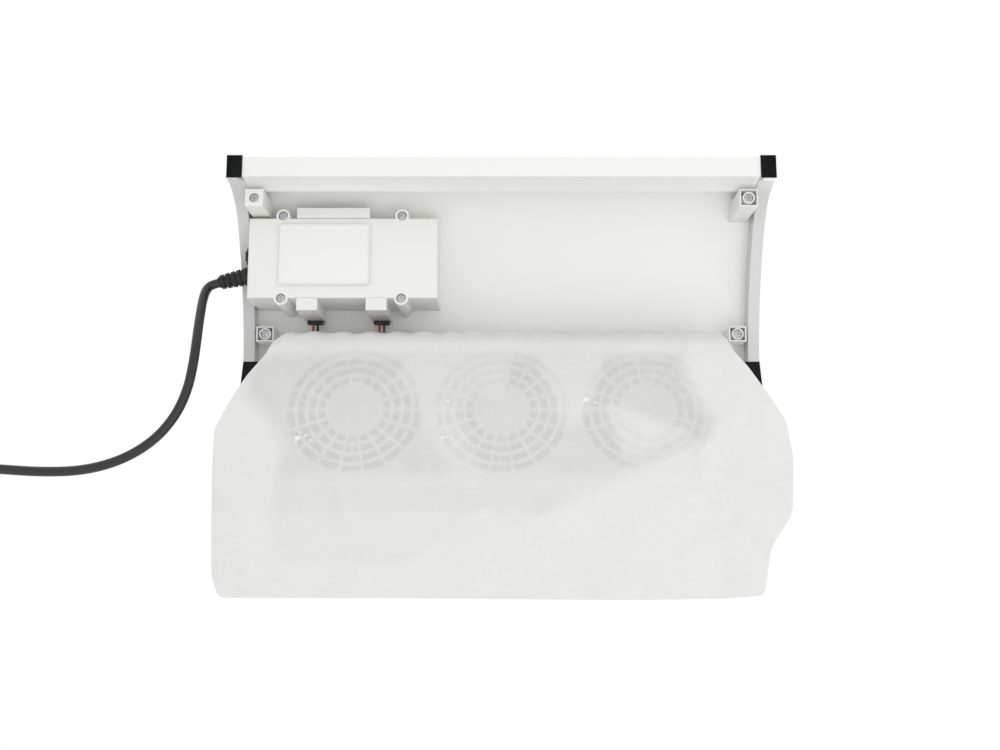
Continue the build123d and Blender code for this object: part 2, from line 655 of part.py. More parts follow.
housing += Pos(0, 0, fan_bottom) * extrude(strut_face, STRUT_THICKNESS)
hub_top = fan_top - 2 * AXIAL_GAP
hub_bottom = plate_top + AXIAL_GAP
cup_top = hub_top - HUB_WALL
boss_bottom = cup_top - 2 * HUB_WALL
bearing_top = boss_bottom - AXIAL_GAP
tube_radius = BEARING_RADIUS + BEARING_TUBE_WALL
housing += ring(tube_radius, BEARING_RADIUS, plate_top, bearing_top)

# Bearing bush, shaft, stator and bladed rotor
bush = ring(BEARING_RADIUS, SHAFT_RADIUS + SHAFT_CLEARANCE, plate_top, bearing_top)
shaft = disc(SHAFT_RADIUS, plate_top + AXIAL_GAP, cup_top)
stator_radius = HUB_RADIUS - HUB_WALL - STATOR_GAP
stator_face = Circle(stator_radius) - Circle(stator_radius - STATOR_RIM)
for k in range(STATOR_POLES):
    gap = Pos(stator_radius, 0) * Rectangle(3 * STATOR_RIM, STATOR_SLOT)
    stator_face -= Rot(0, 0, 360 / STATOR_POLES * (k + 0.5)) * gap
stator_face += Circle(tube_radius + STATOR_CORE)
for k in range(STATOR_POLES):
    limb_length = stator_radius - STATOR_RIM / 2
    limb = Pos(limb_length / 2, 0) * Rectangle(limb_length, STATOR_LIMB)
    stator_face += Rot(0, 0, 360 / STATOR_POLES * k) * limb
stator_face -= Circle(tube_radius)
stator = Pos(0, 0, hub_bottom + AXIAL_GAP) * extrude(stator_face, bearing_top - hub_bottom - 2 * AXIAL_GAP)

blade_tip = FAN_DUCT_RADIUS - TIP_GAP
blade_root = HUB_RADIUS - 3 * HUB_WALL
blade_z = (hub_top + hub_bottom) / 2


def blade_section(radius, pitch):
    """Flat blade section that faces outward at a radius, turned to its pitch."""
    plane = Plane(origin=(radius, 0, blade_z), x_dir=(0, 1, 0), z_dir=(1, 0, 0))
    return plane * Rot(0, 0, pitch) * Rectangle(BLADE_CHORD, BLADE_THICKNESS)


blade_ends = ((blade_root, BLADE_ROOT_PITCH), (FAN_DUCT_RADIUS, BLADE_TIP_PITCH))
blade = loft([blade_section(radius, pitch) for radius, pitch in blade_ends])
rotor = disc(HUB_RADIUS, hub_bottom, hub_top)
rotor = fillet(rotor.edges().group_by(Axis.Z)[-1], HUB_ROUND)
for k in range(BLADE_COUNT):
    rotor += Rot(0, 0, 360 / BLADE_COUNT * k) * blade
rotor &= disc(blade_tip, hub_bottom, hub_top)
rotor -= disc(HUB_RADIUS - HUB_WALL, hub_bottom, cup_top)
rotor += disc(ROTOR_BOSS_RADIUS, boss_bottom, cup_top)
rotor -= disc(SHAFT_RADIUS, boss_bottom, cup_top)

for name, plane in zip(fan_names, fan_planes):
    keep(f"fan_housing_{name}", plane * housing)
    keep(f"fan_bearing_{name}", plane * bush)
    keep(f"fan_shaft_{name}", plane * shaft)
    keep(f"fan_stator_{name}", plane * stator)
    keep(f"fan_rotor_{name}", plane * rotor)

# Exhaust frame: a tray with three ring-and-spoke guards and a lip for the bag
floor_top = fan_bottom
floor_bottom = floor_top - FRAME_FLOOR
guard_face = slotted_disc(
    GUARD_RADIUS, GUARD_HUB_RADIUS, GUARD_RINGS, GUARD_RING_WIDTH, GUARD_SPOKES, GUARD_SPOKE_WIDTH
)
fan_shifts = [Pos(x, 0, 0) for x in fan_offsets]


def frame_outline(grow):
    """Rounded outline of the exhaust frame, grown outward on every side."""
    return RectangleRounded(FRAME_LENGTH + 2 * grow, FRAME_WIDTH + 2 * grow, FRAME_CORNER + grow)


floor_face = frame_outline(0)
for shift in fan_shifts:
    floor_face -= shift * Circle(GUARD_RADIUS)
    floor_face += shift * guard_face
    floor_face -= [shift * corner * Circle(FAN_HOLE_RADIUS) for corner in fan_corners]
frame = Pos(0, 0, floor_bottom) * extrude(floor_face, FRAME_FLOOR)
wall_height = -SEAM - floor_bottom
frame_floor = Pos(0, 0, floor_bottom)
frame += frame_floor * extrude(frame_outline(0) - frame_outline(-FRAME_WALL), wall_height)
frame += frame_floor * extrude(frame_outline(FRAME_LIP) - frame_outline(-FRAME_WALL), FRAME_LIP_HEIGHT)
frame = (frame_plane * frame) & room_inside
keep("exhaust_frame", frame)

# Fan leads from the connectors to the frame wall, and a clip under the shell
wall_rise = (slot_z - slope_middle.Z) / math.cos(math.radians(FAN_SLOPE))
wall_y = slope_middle.Y + FRAME_WIDTH / 2 / math.cos(math.radians(FAN_SLOPE))
wall_y -= wall_rise * math.sin(math.radians(FAN_SLOPE))
lead_end = wall_y + LEAD_RADIUS
for name, shift in (("red", LEAD_PITCH / 2), ("black", -LEAD_PITCH / 2)):
    leads = []
    for x in arm_centres:
        start = Plane(origin=(x + shift, at(connector_floor), slot_z), z_dir=(0, -1, 0))
        leads.append(start * disc(LEAD_RADIUS, 0, at(connector_floor) - lead_end))
    keep(f"fan_leads_{name}", group(leads))
clip_x = BOX_OUTER_END - CLIP_INSET
clip_at = CROWN_AT - CLIP_TO_CROWN
clip_length, clip_depth, clip_height = CLIP_SIZE
clip_low = shell_top(clip_at) - SHELL_WALL - clip_height
clip_sides = (clip_x - clip_length / 2, clip_x + clip_length / 2)
clip = block(*clip_sides, clip_at - clip_depth / 2, clip_at + clip_depth / 2, clip_low, top_z) & inside
clip_screw_place = Pos(clip_x, at(clip_at), clip_low)
clip_screw = disc(SCREW_RADIUS, 0, clip_height - 2 * SEAM) + disc(SCREW_HEAD_RADIUS, -LONG_SCREW_HEAD, 0)
keep("lead_clip", clip - clip_screw_place * disc(SCREW_RADIUS, 0, clip_height - 2 * SEAM))
keep("lead_clip_screw", clip_screw_place * clip_screw)

# Long screws through the exhaust frame and the fans into the shell
long_screw = disc(LONG_SCREW_RADIUS, floor_bottom, LONG_SCREW_BITE)
long_screw += disc(SCREW_HEAD_RADIUS, floor_bottom - LONG_SCREW_HEAD, floor_bottom)
long_screws = [plane * corner * long_screw for plane in fan_planes for corner in fan_corners]
keep("fan_screws", group(long_screws))

# Dust bag: hem over the lip, hollow body to the table, and a flat skirt under the front legs
hem_gap = FRAME_LIP + SEAM
hem_height = FRAME_LIP_HEIGHT + BAG_HEM_HEIGHT
hem = extrude(frame_outline(hem_gap + BAG_HEM) - frame_outline(hem_gap), hem_height)
hem = frame_plane * Pos(0, 0, floor_bottom) * hem
mouth_plane = frame_plane * Pos(0, 0, floor_bottom)
tent_half = FRAME_LENGTH / 2 + BAG_TENT_OVER
tent_back = FAN_AT - BAG_TENT_BEHIND
tent_front = BAG_REACH - BAG_TENT_INSET
tent_depth = tent_front - tent_back
tent_middle = at((tent_front + tent_back) / 2)


def tent(shrink, foot_z):
    """Closed body between the hem outline and a rounded rectangle near the table."""
    mouth = mouth_plane * frame_outline(hem_gap + BAG_HEM - shrink)
    base = RectangleRounded(2 * (tent_half - shrink), tent_depth - 2 * shrink, BAG_CORNER - shrink)
    return loft([mouth, Pos(0, tent_middle, foot_z) * base], ruled=True)


edge_points = []
for sign, edge in ((1, BAG_EDGE_CORD_SIDE), (-1, BAG_EDGE_FAR_SIDE)):
    for past, share in edge:
        edge_points.append((sign * (half_width + past), at(FAN_AT + share * (BAG_REACH - FAN_AT))))
skirt = extrude(make_face(Polyline(*edge_points, close=True)), BAG_SKIN)
bag = hem + tent(0, 0) + skirt - tent(BAG_HEM, BAG_SKIN)
keep("dust_bag", bag)
elastic_z = floor_bottom + FRAME_LIP_HEIGHT + SEAM
elastic = extrude(frame_outline(hem_gap) - frame_outline(0), ELASTIC_HEIGHT)
keep("bag_elastic", frame_plane * Pos(0, 0, elastic_z) * elastic)


# Mains lead: a free run to the table, then a tied coil and the plug
def gland_axis(along):
    """Point on the axis of the outlet sleeve, by its distance from the flange."""
    lean_angle = math.radians(GLAND_TURN)
    x = BOX_OUTER_END + GLAND_FLANGE + along * math.cos(lean_angle)
    return (x, gland_at + along * math.sin(lean_angle), gland_z)


coil_z = CORD_RADIUS + TIE_THICKNESS + TIE_CLEARANCE
coil_x = half_width + COIL_PLACE[0]
coil_front = gland_at + COIL_PLACE[1] + COIL_FIRST_RADIUS
cord_lie = CORD_RADIUS + SEAM
route = [gland_axis(GLAND_LENGTH - GLAND_GRIP), gland_axis(GLAND_LENGTH + GLAND_GRIP)]
for past, forward, share in CORD_ROUTE:
    route.append((half_width + past, gland_at + forward, cord_lie + share * (gland_z - cord_lie)))
route += [(coil_x - COIL_LEAD_IN, coil_front, coil_z), (coil_x, coil_front, coil_z)]
route = [Vector(x, at(forward), z) for x, forward, z in route]
radii = []
for before, corner, after in zip(route, route[1:], route[2:]):
    turn = (corner - before).get_angle(after - corner)
    shorter = min((corner - before).length, (after - corner).length)
    radii.append(CORD_BEND_SHARE * shorter / math.tan(math.radians(turn / 2)))
print("cord radii", [round(r, 1) for r in radii])
cord_path = FilletPolyline(*route, radius=radii)
cord_start = Plane(origin=route[0], z_dir=route[1] - route[0])
cord_run = sweep(cord_start * Circle(CORD_RADIUS), path=cord_path)
cord_section = math.pi * CORD_RADIUS**2
print("cord length", round(cord_path.length, 1))
print("cord volume share", round(cord_run.volume / (cord_section * cord_path.length), 4))
keep("cord_run", cord_run)


def biarc(start, start_way, end, end_way):
    """Two tangent arcs from one point and direction to another."""
    span = end - start
    ways = start_way + end_way
    spread = 2 * (1 - start_way.dot(end_way))
    if spread < 1e-9:
        reach = span.dot(span) / (4 * span.dot(end_way))
    else:
        along = span.dot(ways)
        reach = (-along + math.sqrt(along**2 + spread * span.dot(span))) / spread
    first = start + start_way * reach
    last = end - end_way * reach
    middle = (first + last) * 0.5
    return [
        TangentArc(start, middle, tangent=start_way),
        TangentArc(middle, end, tangent=last - first),
    ]


coil_centre = route[-1] + Vector(0, COIL_FIRST_RADIUS, 0)
stops = []
layered_turns = [(turn, 0) for turn in COIL_LOWER_TURNS] + [(turn, COIL_LAYER) for turn in COIL_UPPER_TURNS]
for k, (turn, rise) in enumerate(layered_turns):
    side_sign = 1 if k % 2 else -1
    place = coil_centre + Vector(0, side_sign * (COIL_FIRST_RADIUS - COIL_STEP * turn), rise)
    stops.append((place, Vector(-side_sign, 0, 0)))
leave = coil_centre + Vector(COIL_FIRST_RADIUS + 2 * COIL_STEP, 0, COIL_LAYER)
plug_cord_z = PLUG_THICKNESS / 2
plug_start = Vector(leave.X, leave.Y + TAIL_LENGTH, plug_cord_z)
stops += [(leave, Vector(0, 1, 0)), (plug_start, Vector(0, 1, 0))]
lead_in = 2 * CORD_RADIUS
coil_edges = []
for (start, start_way), (end, end_way) in zip(stops, stops[1:]):
    coil_edges += biarc(start, start_way, end, end_way)
coil_end = plug_start + Vector(0, lead_in, 0)
coil_edges.append(Line(plug_start, coil_end))
coil_wire = Wire(coil_edges)
coil_start = Plane(origin=stops[0][0], z_dir=stops[0][1])
coil = sweep(coil_start * Circle(CORD_RADIUS), path=coil_wire)
samples = 1500
points = [coil_wire.position_at(k / samples) for k in range(samples + 1)]
skip = math.ceil(3 * math.pi * CORD_RADIUS / (coil_wire.length / samples))
pairs = ((i, j) for i in range(0, samples, 3) for j in range(i + skip, samples + 1, 2))
nearest = min((points[i] - points[j]).length for i, j in pairs)
print("coil length", round(coil_wire.length, 1), "least gap", round(nearest - 2 * CORD_RADIUS, 2))
keep("cord_coil", coil)

# Tie round the back of the coil
tie_inner = COIL_FIRST_RADIUS - COIL_LOWER_TURNS[-1] * COIL_STEP - CORD_RADIUS
tie_outer = COIL_FIRST_RADIUS - COIL_STEP + CORD_RADIUS
sag = (TIE_WIDTH / 2) ** 2 / (2 * tie_inner)
tie_low = tie_inner - sag - TIE_CLEARANCE
tie_high = tie_outer + TIE_CLEARANCE
tie_top = coil_z + COIL_LAYER + CORD_RADIUS + TIE_CLEARANCE
tie_depth = tie_high - tie_low
tie_height = tie_top - TIE_THICKNESS
tie = Box(TIE_WIDTH, tie_depth + 2 * TIE_THICKNESS, tie_height + 2 * TIE_THICKNESS)
tie = fillet(tie.edges().filter_by(Axis.X), 2 * TIE_THICKNESS)
tie_hole = Box(TIE_WIDTH, tie_depth, tie_height)
tie -= fillet(tie_hole.edges().filter_by(Axis.X), TIE_THICKNESS)
tie_place = Pos(coil_centre.X, coil_centre.Y + (tie_low + tie_high) / 2, (tie_top + TIE_THICKNESS) / 2)
keep("coil_tie", tie_place * tie)

# Flat two-pin plug
plug_plane = Plane(origin=coil_end, x_dir=(1, 0, 0), z_dir=(0, 1, 0))
waist_z = PLUG_LENGTH * PLUG_WAIST
waist_w = PLUG_WIDTH * PLUG_WAIST_WIDTH
waist_t = PLUG_THICKNESS * PLUG_WAIST_THICKNESS
waist = Pos(0, 0, waist_z)
plug_body = loft([Circle(PLUG_NECK_RADIUS), waist * Ellipse(waist_w / 2, waist_t / 2)])
grip = waist * RectangleRounded(waist_w, waist_t, PLUG_CORNER)
face = Pos(0, 0, PLUG_LENGTH) * RectangleRounded(PLUG_WIDTH, PLUG_THICKNESS, PLUG_CORNER)
plug_body += loft([grip, face], ruled=True)
pins = [Pos(s * PIN_PITCH / 2, 0, PLUG_LENGTH) * disc(PIN_RADIUS, 0, PIN_LENGTH) for s in (-1, 1)]
pins = [fillet(p.edges().group_by(Axis.Z)[-1], PIN_ROUND) for p in pins]
keep("plug_body", plug_plane * plug_body)
keep("plug_pins", plug_plane * group(pins))

for name, shape in nodes.items():
    box = shape.bounding_box()
    print(name, [round(v, 1) for v in (*box.min, *box.max)], round(shape.volume))
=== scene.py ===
"""Looks of a desktop dust collector for manicure work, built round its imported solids."""

import math

import bpy
from mathutils import Matrix, Vector, noise


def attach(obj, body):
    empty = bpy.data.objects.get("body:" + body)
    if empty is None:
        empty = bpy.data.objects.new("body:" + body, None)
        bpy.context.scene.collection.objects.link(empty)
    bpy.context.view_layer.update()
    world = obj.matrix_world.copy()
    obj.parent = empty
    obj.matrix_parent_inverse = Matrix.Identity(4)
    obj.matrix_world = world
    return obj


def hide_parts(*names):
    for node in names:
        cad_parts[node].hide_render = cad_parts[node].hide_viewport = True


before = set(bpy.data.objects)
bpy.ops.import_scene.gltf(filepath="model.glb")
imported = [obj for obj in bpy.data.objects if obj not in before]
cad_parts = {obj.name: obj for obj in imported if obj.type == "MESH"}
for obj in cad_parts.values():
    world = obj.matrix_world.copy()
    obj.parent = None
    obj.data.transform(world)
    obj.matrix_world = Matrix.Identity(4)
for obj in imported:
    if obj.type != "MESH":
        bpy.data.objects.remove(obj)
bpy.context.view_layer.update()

bl_info = {
    "name": "Manicure dust collector",
    "version": (1, 0, 0),
    "blender": (4, 5, 0),
    "location": "3D View > Sidebar > Dust collector",
    "description": "Cloth, lead, finishes and stage of a three-fan desktop dust collector",
    "category": "Object",
}

# Sizes are millimetres; an outline gives X and the distance forward of the back rail
MM = 0.001
BACK_Y = 139.0
SIDES = ("cord_side", "far_side")
FANS = ("cord_side", "middle", "far_side")

# Stage, in metres and watts: the camera looks up at the underside
CAMERA_PLACE = (0.00093, -0.1035, -0.650)
CAMERA_TILT = math.radians(8.8)
CAMERA_LENS = 38.376
CAMERA_SENSOR = 36.0
CAMERA_CLIP = 0.01
FLOOR_SIZE = 8.0
FLOOR_PLACE = (0, 0, -0.0004)
FLOOR_FADE = (0.45, 1.1)
CARD_PLACE = (0.415, 0.58, -0.72)
CARD_SIZE = (0.21, 0.6, 1.0)
# Lamps: name, place, target, width, power
LAMPS = (
    ("lamp_under_back", (-0.45, 0.55, -0.75), (0, 0.02, 0.03), 0.9, 0.7),
    ("lamp_under_front", (-0.30, -0.45, -0.92), (0, 0.03, 0.04), 0.9, 1.9),
    ("lamp_over_front", (-0.60, -0.90, 1.10), (0, 0, 0.03), 0.9, 2.6),
    ("lamp_over_back", (0.80, 0.70, 0.90), (0, 0, 0.03), 0.8, 1.0),
)
SURROUND_LIGHT = 0.92

# Exhaust frame, the same as its solid
FAN_SLOPE = math.radians(17.0)
SLOPE_MIDDLE = Vector((0.0, -28.1229, 61.7079))
FRAME_LENGTH = 290.0
FRAME_WIDTH = 105.0
FRAME_CORNER = 8.0
# Edge of the bag on the table, with the reach of its solid
BAG_OUTLINE = (
    (147.0, 126.0),
    (158.8, 142.3),
    (167.5, 158.5),
    (176.0, 175.5),
    (176.2, 205.0),
    (174.3, 262.5),
    (169.6, 276.6),
    (60.0, 276.8),
    (0.0, 277.4),
    (-75.0, 277.9),
    (-130.0, 277.3),
    (-157.5, 275.2),
    (-162.3, 247.0),
    (-176.3, 226.5),
    (-178.0, 192.0),
    (-174.3, 169.6),
    (-160.2, 146.5),
    (-152.5, 133.5),
    (-146.0, 126.0),
)
# Where the slack body meets the flat edge, inside the front legs
BAG_FOOT = (
    (145.0, 120.0),
    (154.0, 142.5),
    (158.0, 160.0),
    (160.0, 176.0),
    (160.5, 229.0),
    (168.0, 250.0),
    (164.5, 273.5),
    (-153.0, 273.5),
    (-156.5, 248.0),
    (-160.5, 229.0),
    (-160.5, 200.0),
    (-159.0, 172.0),
    (-154.0, 148.0),
    (-149.0, 135.0),
    (-144.5, 120.0),
)
# Points at which the cord side, front, far side and back begin, and rounds of easing for the corners
OUTLINE_CORNERS = (0, 6, 11, 18)
OUTLINE_EASING = 2
FOOT_CORNERS = (0, 6, 7, 14)
FOOT_EASING = 4
# The bag hangs clear of the table near the hem's back edge and comes to rest further forward
BACK_LIFT = 9.0
BACK_LIFT_ENDS_AT = 172.0
BACK_LIFT_RUN = 46.0
BACK_LIFT_MOST = 1.2
# Hem, rolled over the elastic: growth beyond the frame, height along its normal, share of the gathers
HEM_ROLL = (
    (1.9, -21.0, 0.0),
    (2.0, -16.8, 0.0),
    (2.3, -15.9, 0.2),
    (2.6, -16.6, 0.5),
    (2.6, -19.0, 0.6),
    (2.2, -24.3, 0.3),
    (2.5, -27.5, 0.7),
    (2.6, -30.0, 0.9),
)
HEM_MIDDLE_Y = -19.6
HEM_HALF_DEPTH = 52.0
# Gathers: radians from one point of the ring to the next, and a slow drift that makes them irregular
GATHER_TURN = 0.83
GATHER_DRIFT = 2.6
GATHER_DRIFT_PER_POINT = 0.07
GATHER_SEED = 5.0
# Rings of the bag: points on the cord side, front, far side and back, then rows of the wall and the base
RING_COUNTS = (56, 124, 56, 124)
CORNER_STEPS = 4
WALL_STEPS = 16
BASE_STEPS = 16
# Slack body: its front wall is pushed out and up, and its back wall hangs in front of the hem, above the foot
FRONT_PUSH = Vector((0, -4.0, 11.0))
FRONT_SHARPNESS = 3
BACK_HANG_FORWARD = 7.0
BACK_HANG_ABOVE = 5.0
BACK_SHARPNESS = 2
# How fast the gathers die away down the wall
PLEAT_FADE = 1.5
# Waves in the wall, over its length and height laid flat, and in the base
POINT_PITCH = 1.9
WALL_HEIGHT = 55
WALL_WAVE = 17.0
WALL_WAVE_SEED = 8.0
WALL_WAVE_SPLIT = 0.5
BASE_WAVE = 38.0
BASE_WAVE_SEED = 2.0
BASE_WAVE_SHARE = 0.45
# The base's waves rise and die away: slope and offset over the way from the edge to the middle
BASE_RISE = (4, 1.2)
BASE_FALL = (8, 0.5)
# Base: half length and place of its middle line, height over the table, share that its rounded edge draws in
BASE_LINE = 120.0
BASE_MIDDLE_Y = -66.0
BASE_Z = 0.12
BASE_EDGE_ROUND = 0.03
FLANGE_Z = 0.3
CLOTH_SHARP_FROM = math.radians(75)
# Window over the guards where the cloth lies in one layer; round it the slack is doubled
WINDOW = (
    (151.0, 95.0),
    (151.0, 150.0),
    (137.0, 166.0),
    (128.5, 184.0),
    (128.5, 246.0),
    (63.0, 247.0),
    (10.0, 212.0),
    (-8.0, 224.0),
    (-76.0, 194.5),
    (-112.0, 178.0),
    (-122.0, 175.0),
    (-118.0, 164.0),
    (-108.0, 146.0),
    (-106.0, 128.0),
    (-106.0, 95.0),
)
WINDOW_BLUR = 12.0
# Towards the front and the hem the window closes: from, to, share of a second layer
WINDOW_CLOSING = ((196.0, 210.0, 0.6), (132.5, 123.5, 0.85))
# Folds inside the window: share of a second layer and outline
FOLDS = (
    (0.65, ((-67.4, 162.5), (-111.5, 178.0), (-78.5, 192.3))),
    (
        0.45,
        (
            (58.2, 128.4),
            (-1.3, 128.4),
            (0.9, 150.4),
            (18.5, 153.7),
            (29.5, 163.6),
            (18.5, 190.1),
            (-3.5, 218.7),
            (5.3, 221.0),
            (27.3, 198.9),
            (42.8, 179.0),
            (49.4, 157.0),
            (60.4, 141.6),
        ),
    ),
    (
        0.55,
        ((-25.6, 128.4), (-63.0, 128.4), (-56.4, 143.8), (-47.6, 168.0), (-38.8, 170.3), (-32.2, 146.0)),
    ),
)
FOLD_BLUR = 6.0
# Cloth cover: the least and most of one layer, and what a second layer adds
COVER_RANGE = (0.71, 0.73)
SECOND_LAYER = 0.2

# Blank label on the power box: X from and to, forward from and to, Z from and to
LABEL_BOX = (86.0, 146.0, 37.0, 78.0, 29.92, 30.0)
LABEL_CORNER = 2.0
LABEL_CORNER_STEPS = 4

# Corner blocks with a pocket between their wall and the boss round the screw
POCKETED_BLOCKS = ("back_far_side", "front_cord_side", "front_far_side")
POCKET_WALL = 0.8
POCKET_DEPTH = 8.0
SAME_POINT = 0.01
SAME_LEVEL = 0.1
FACING_DOWN = -0.99
BLOCK_SHARP_FROM = math.radians(30)

# Finishes that two pieces share, and where the rims' plating begins: X from the middle, lean of the face
ABS_IOR = 1.53
# The rims' bare plastic is painted greyer than the case: painted shade
RIM_GREY_PAINTED_SHADE = "D0D0CE"
CHROME = "C6C9CC"
PLASTIC_ROUGHNESS = 0.36
CHROME_ROUGHNESS = 0.07
RIM_PLATING_FROM = 173.4
RIM_PLATING_LEAN = 0.02
# Detail of the noise for a grain and for smooth ripples
GRAIN_DETAIL = 2.0
RIPPLE_DETAIL = 1.0
# A wave texture counts this many radians to one unit
WAVE_RADIANS = 20

# Mains lead: points of the free run, then the turns of the tied coil
LEAD_EXIT = (183.116, 73.074, 39.0)
LEAD_RUN = (
    LEAD_EXIT,
    (190.911, 74.874, 39.0),
    (194.5, 78.5, 36.5),
    (194.8, 87.0, 30.0),
    (193.6, 97.0, 22.0),
    (192.4, 107.5, 14.5),
    (191.4, 119.0, 8.0),
    (191.6, 133.0, 4.4),
    (194.0, 150.0, 3.2),
    (200.6, 166.5, 3.2),
    (213.0, 182.0, 3.2),
    (232.0, 194.0, 3.2),
    (255.0, 200.5, 3.2),
    (281.0, 201.5, 3.2),
    (310.0, 199.4, 3.6),
    (340.0, 197.9, 4.1),
)
COIL_CENTRE = (364.0, 155.0)
COIL_RADIUS = 42.9
COIL_STEP = 3.3
COIL_Z = 4.1
COIL_LAYER = 6.7
# Half turns of the lower and the upper layer, as steps in from the outer radius
COIL_LOWER = (0, 1, 2, 3, 4, 5)
COIL_UPPER = (6, 3, 2, 1, 0)
COIL_POINTS_PER_HALF = 8
# The lead swings out of the coil over a quarter turn, then comes down along its tail to the plug
LEAD_LEAVE_RADIUS = 49.5
LEAVE_SHARES = (0.0, 0.3, 0.6, 0.85)
LEAD_TAIL = 40.0
TAIL_BENDS_AT = 0.4
TAIL_BEND = 1.0
TAIL_DOWN_AT = 0.75
PLUG_CORD_Z = 6.85
PLUG_GAP = 6.0


def forward_point(x, forward, z):
    """A place in metres from X, the distance forward of the back rail and the height, in millimetres."""
    return Vector((x, BACK_Y - forward, z)) * MM


def linear(hex_code):
    """sRGB hex to linear red, green and blue."""
    parts = [int(hex_code[k : k + 2], 16) / 255 for k in (0, 2, 4)]
    return tuple(p / 12.92 if p <= 0.04045 else ((p + 0.055) / 1.055) ** 2.4 for p in parts)


class DustCollectorSizes(bpy.types.PropertyGroup):
    """Sizes of the soft pieces."""

    lead_diameter: bpy.props.FloatProperty(
        name="Lead diameter", description="Jacket diameter of the mains lead", default=0.006, unit="LENGTH"
    )
    pleat_height: bpy.props.FloatProperty(
        name="Pleat height",
        description="How far the gathers of the bag's hem stand out",
        default=0.0012,
        unit="LENGTH",
    )
    wrinkle_height: bpy.props.FloatProperty(
        name="Wrinkle height",
        description="Height of the soft waves in the cloth",
        default=0.0022,
        unit="LENGTH",
    )


class DustCollectorColours(bpy.types.PropertyGroup):
    """Colours of the main finishes."""

    case: bpy.props.FloatVectorProperty(
        name="Case", description="Moulded case", default=linear("EDEDEA"), subtype="COLOR"
    )
    inner: bpy.props.FloatVectorProperty(
        name="Inner pieces",
        description="Power box and corner blocks",
        default=linear("E9E9E5"),
        subtype="COLOR",
    )
    cloth: bpy.props.FloatVectorProperty(
        name="Bag cloth", description="Non-woven bag", default=linear("E6E6E4"), subtype="COLOR"
    )
    lead: bpy.props.FloatVectorProperty(
        name="Lead", description="Jacket of the mains lead", default=linear("232324"), subtype="COLOR"
    )


def add_node(tree, kind, inputs=None, **settings):
    """Add one node, set its properties, and fill or link its inputs."""
    node = tree.nodes.new(kind)
    for key, value in settings.items():
        setattr(node, key, value)
    for key, value in (inputs or {}).items():
        if isinstance(value, bpy.types.NodeSocket):
            tree.links.new(value, node.inputs[key])
        else:
            node.inputs[key].default_value = value
    return node


def new_material(name, colour, **sockets):
    """Material with one surface shader whose constant values are set on its own sockets."""
    material = bpy.data.materials.new(name)
    material.use_nodes = True
    shader = material.node_tree.nodes["Principled BSDF"]
    shader.inputs["Base Color"].default_value = (*colour, 1.0)
    for key, value in sockets.items():
        shader.inputs[key.replace("_", " ")].default_value = value
    return material, material.node_tree, shader


def grain(tree, shader, size_mm, height_mm, detail=GRAIN_DETAIL):
    """Relief with a grain of a given size; fine textures are drawn coarser than real so that they show."""
    place = add_node(tree, "ShaderNodeTexCoord")
    speckle = add_node(
        tree,
        "ShaderNodeTexNoise",
        {"Vector": place.outputs["Object"], "Scale": 1 / (size_mm * MM), "Detail": detail},
    )
    bump = add_node(
        tree,
        "ShaderNodeBump",
        {"Height": speckle.outputs["Fac"], "Strength": 1.0, "Distance": height_mm * MM},
    )
    tree.links.new(bump.outputs["Normal"], shader.inputs["Normal"])


def ridges(tree, shader, pitch_mm, height_mm, direction, wander, strength):
    """Parallel ridges a given pitch apart, counted along one axis."""
    place = add_node(tree, "ShaderNodeTexCoord")
    bands = add_node(
        tree,
        "ShaderNodeTexWave",
        {
            "Vector": place.outputs["Object"],
            "Scale": math.tau / (WAVE_RADIANS * pitch_mm * MM),
            "Distortion": wander,
        },
        bands_direction=direction,
    )
    bump = add_node(
        tree,
        "ShaderNodeBump",
        {"Height": bands.outputs["Fac"], "Strength": strength, "Distance": height_mm * MM},
    )
    tree.links.new(bump.outputs["Normal"], shader.inputs["Normal"])


def paint(material, *nodes):
    """Give solids a finish."""
    for name in nodes:
        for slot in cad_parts[name].material_slots:
            slot.material = material


def grained(name, colour, *nodes, size_mm, height_mm, detail=GRAIN_DETAIL, **sockets):
    """Material of one even colour and sheen with a grain, given to the solids that are named."""
    material, tree, shader = new_material(name, colour, **sockets)
    grain(tree, shader, size_mm, height_mm, detail)
    paint(material, *nodes)
    return material


def sides(stem):
    """Names of a piece that both sides have."""
    return [f"{stem}_{side}" for side in SIDES]


def fans(stem):
    """Names of a piece that each fan has."""
    return [f"{stem}_{fan}" for fan in FANS]


def deselect():
    """Leave edit mode and select nothing."""
    if bpy.context.object and bpy.context.object.mode != "OBJECT":
        bpy.ops.object.mode_set(mode="OBJECT")
    bpy.ops.object.select_all(action="DESELECT")


def choose(obj):
    """Make one object the active and only selected one."""
    deselect()
    bpy.context.view_layer.objects.active = obj
    obj.select_set(True)


def new_object(name, data):
    """Object in the scene that holds a mesh, curve, lamp or camera."""
    obj = bpy.data.objects.new(name, data)
    bpy.context.scene.collection.objects.link(obj)
    return obj


def settle(obj, name, material=None):
    """Name a finished piece and put its place into its mesh."""
    choose(obj)
    bpy.ops.object.transform_apply(location=True, rotation=True, scale=True)
    obj.name = name
    obj.data.name = name
    if material:
        obj.data.materials.clear()
        obj.data.materials.append(material)
    return obj


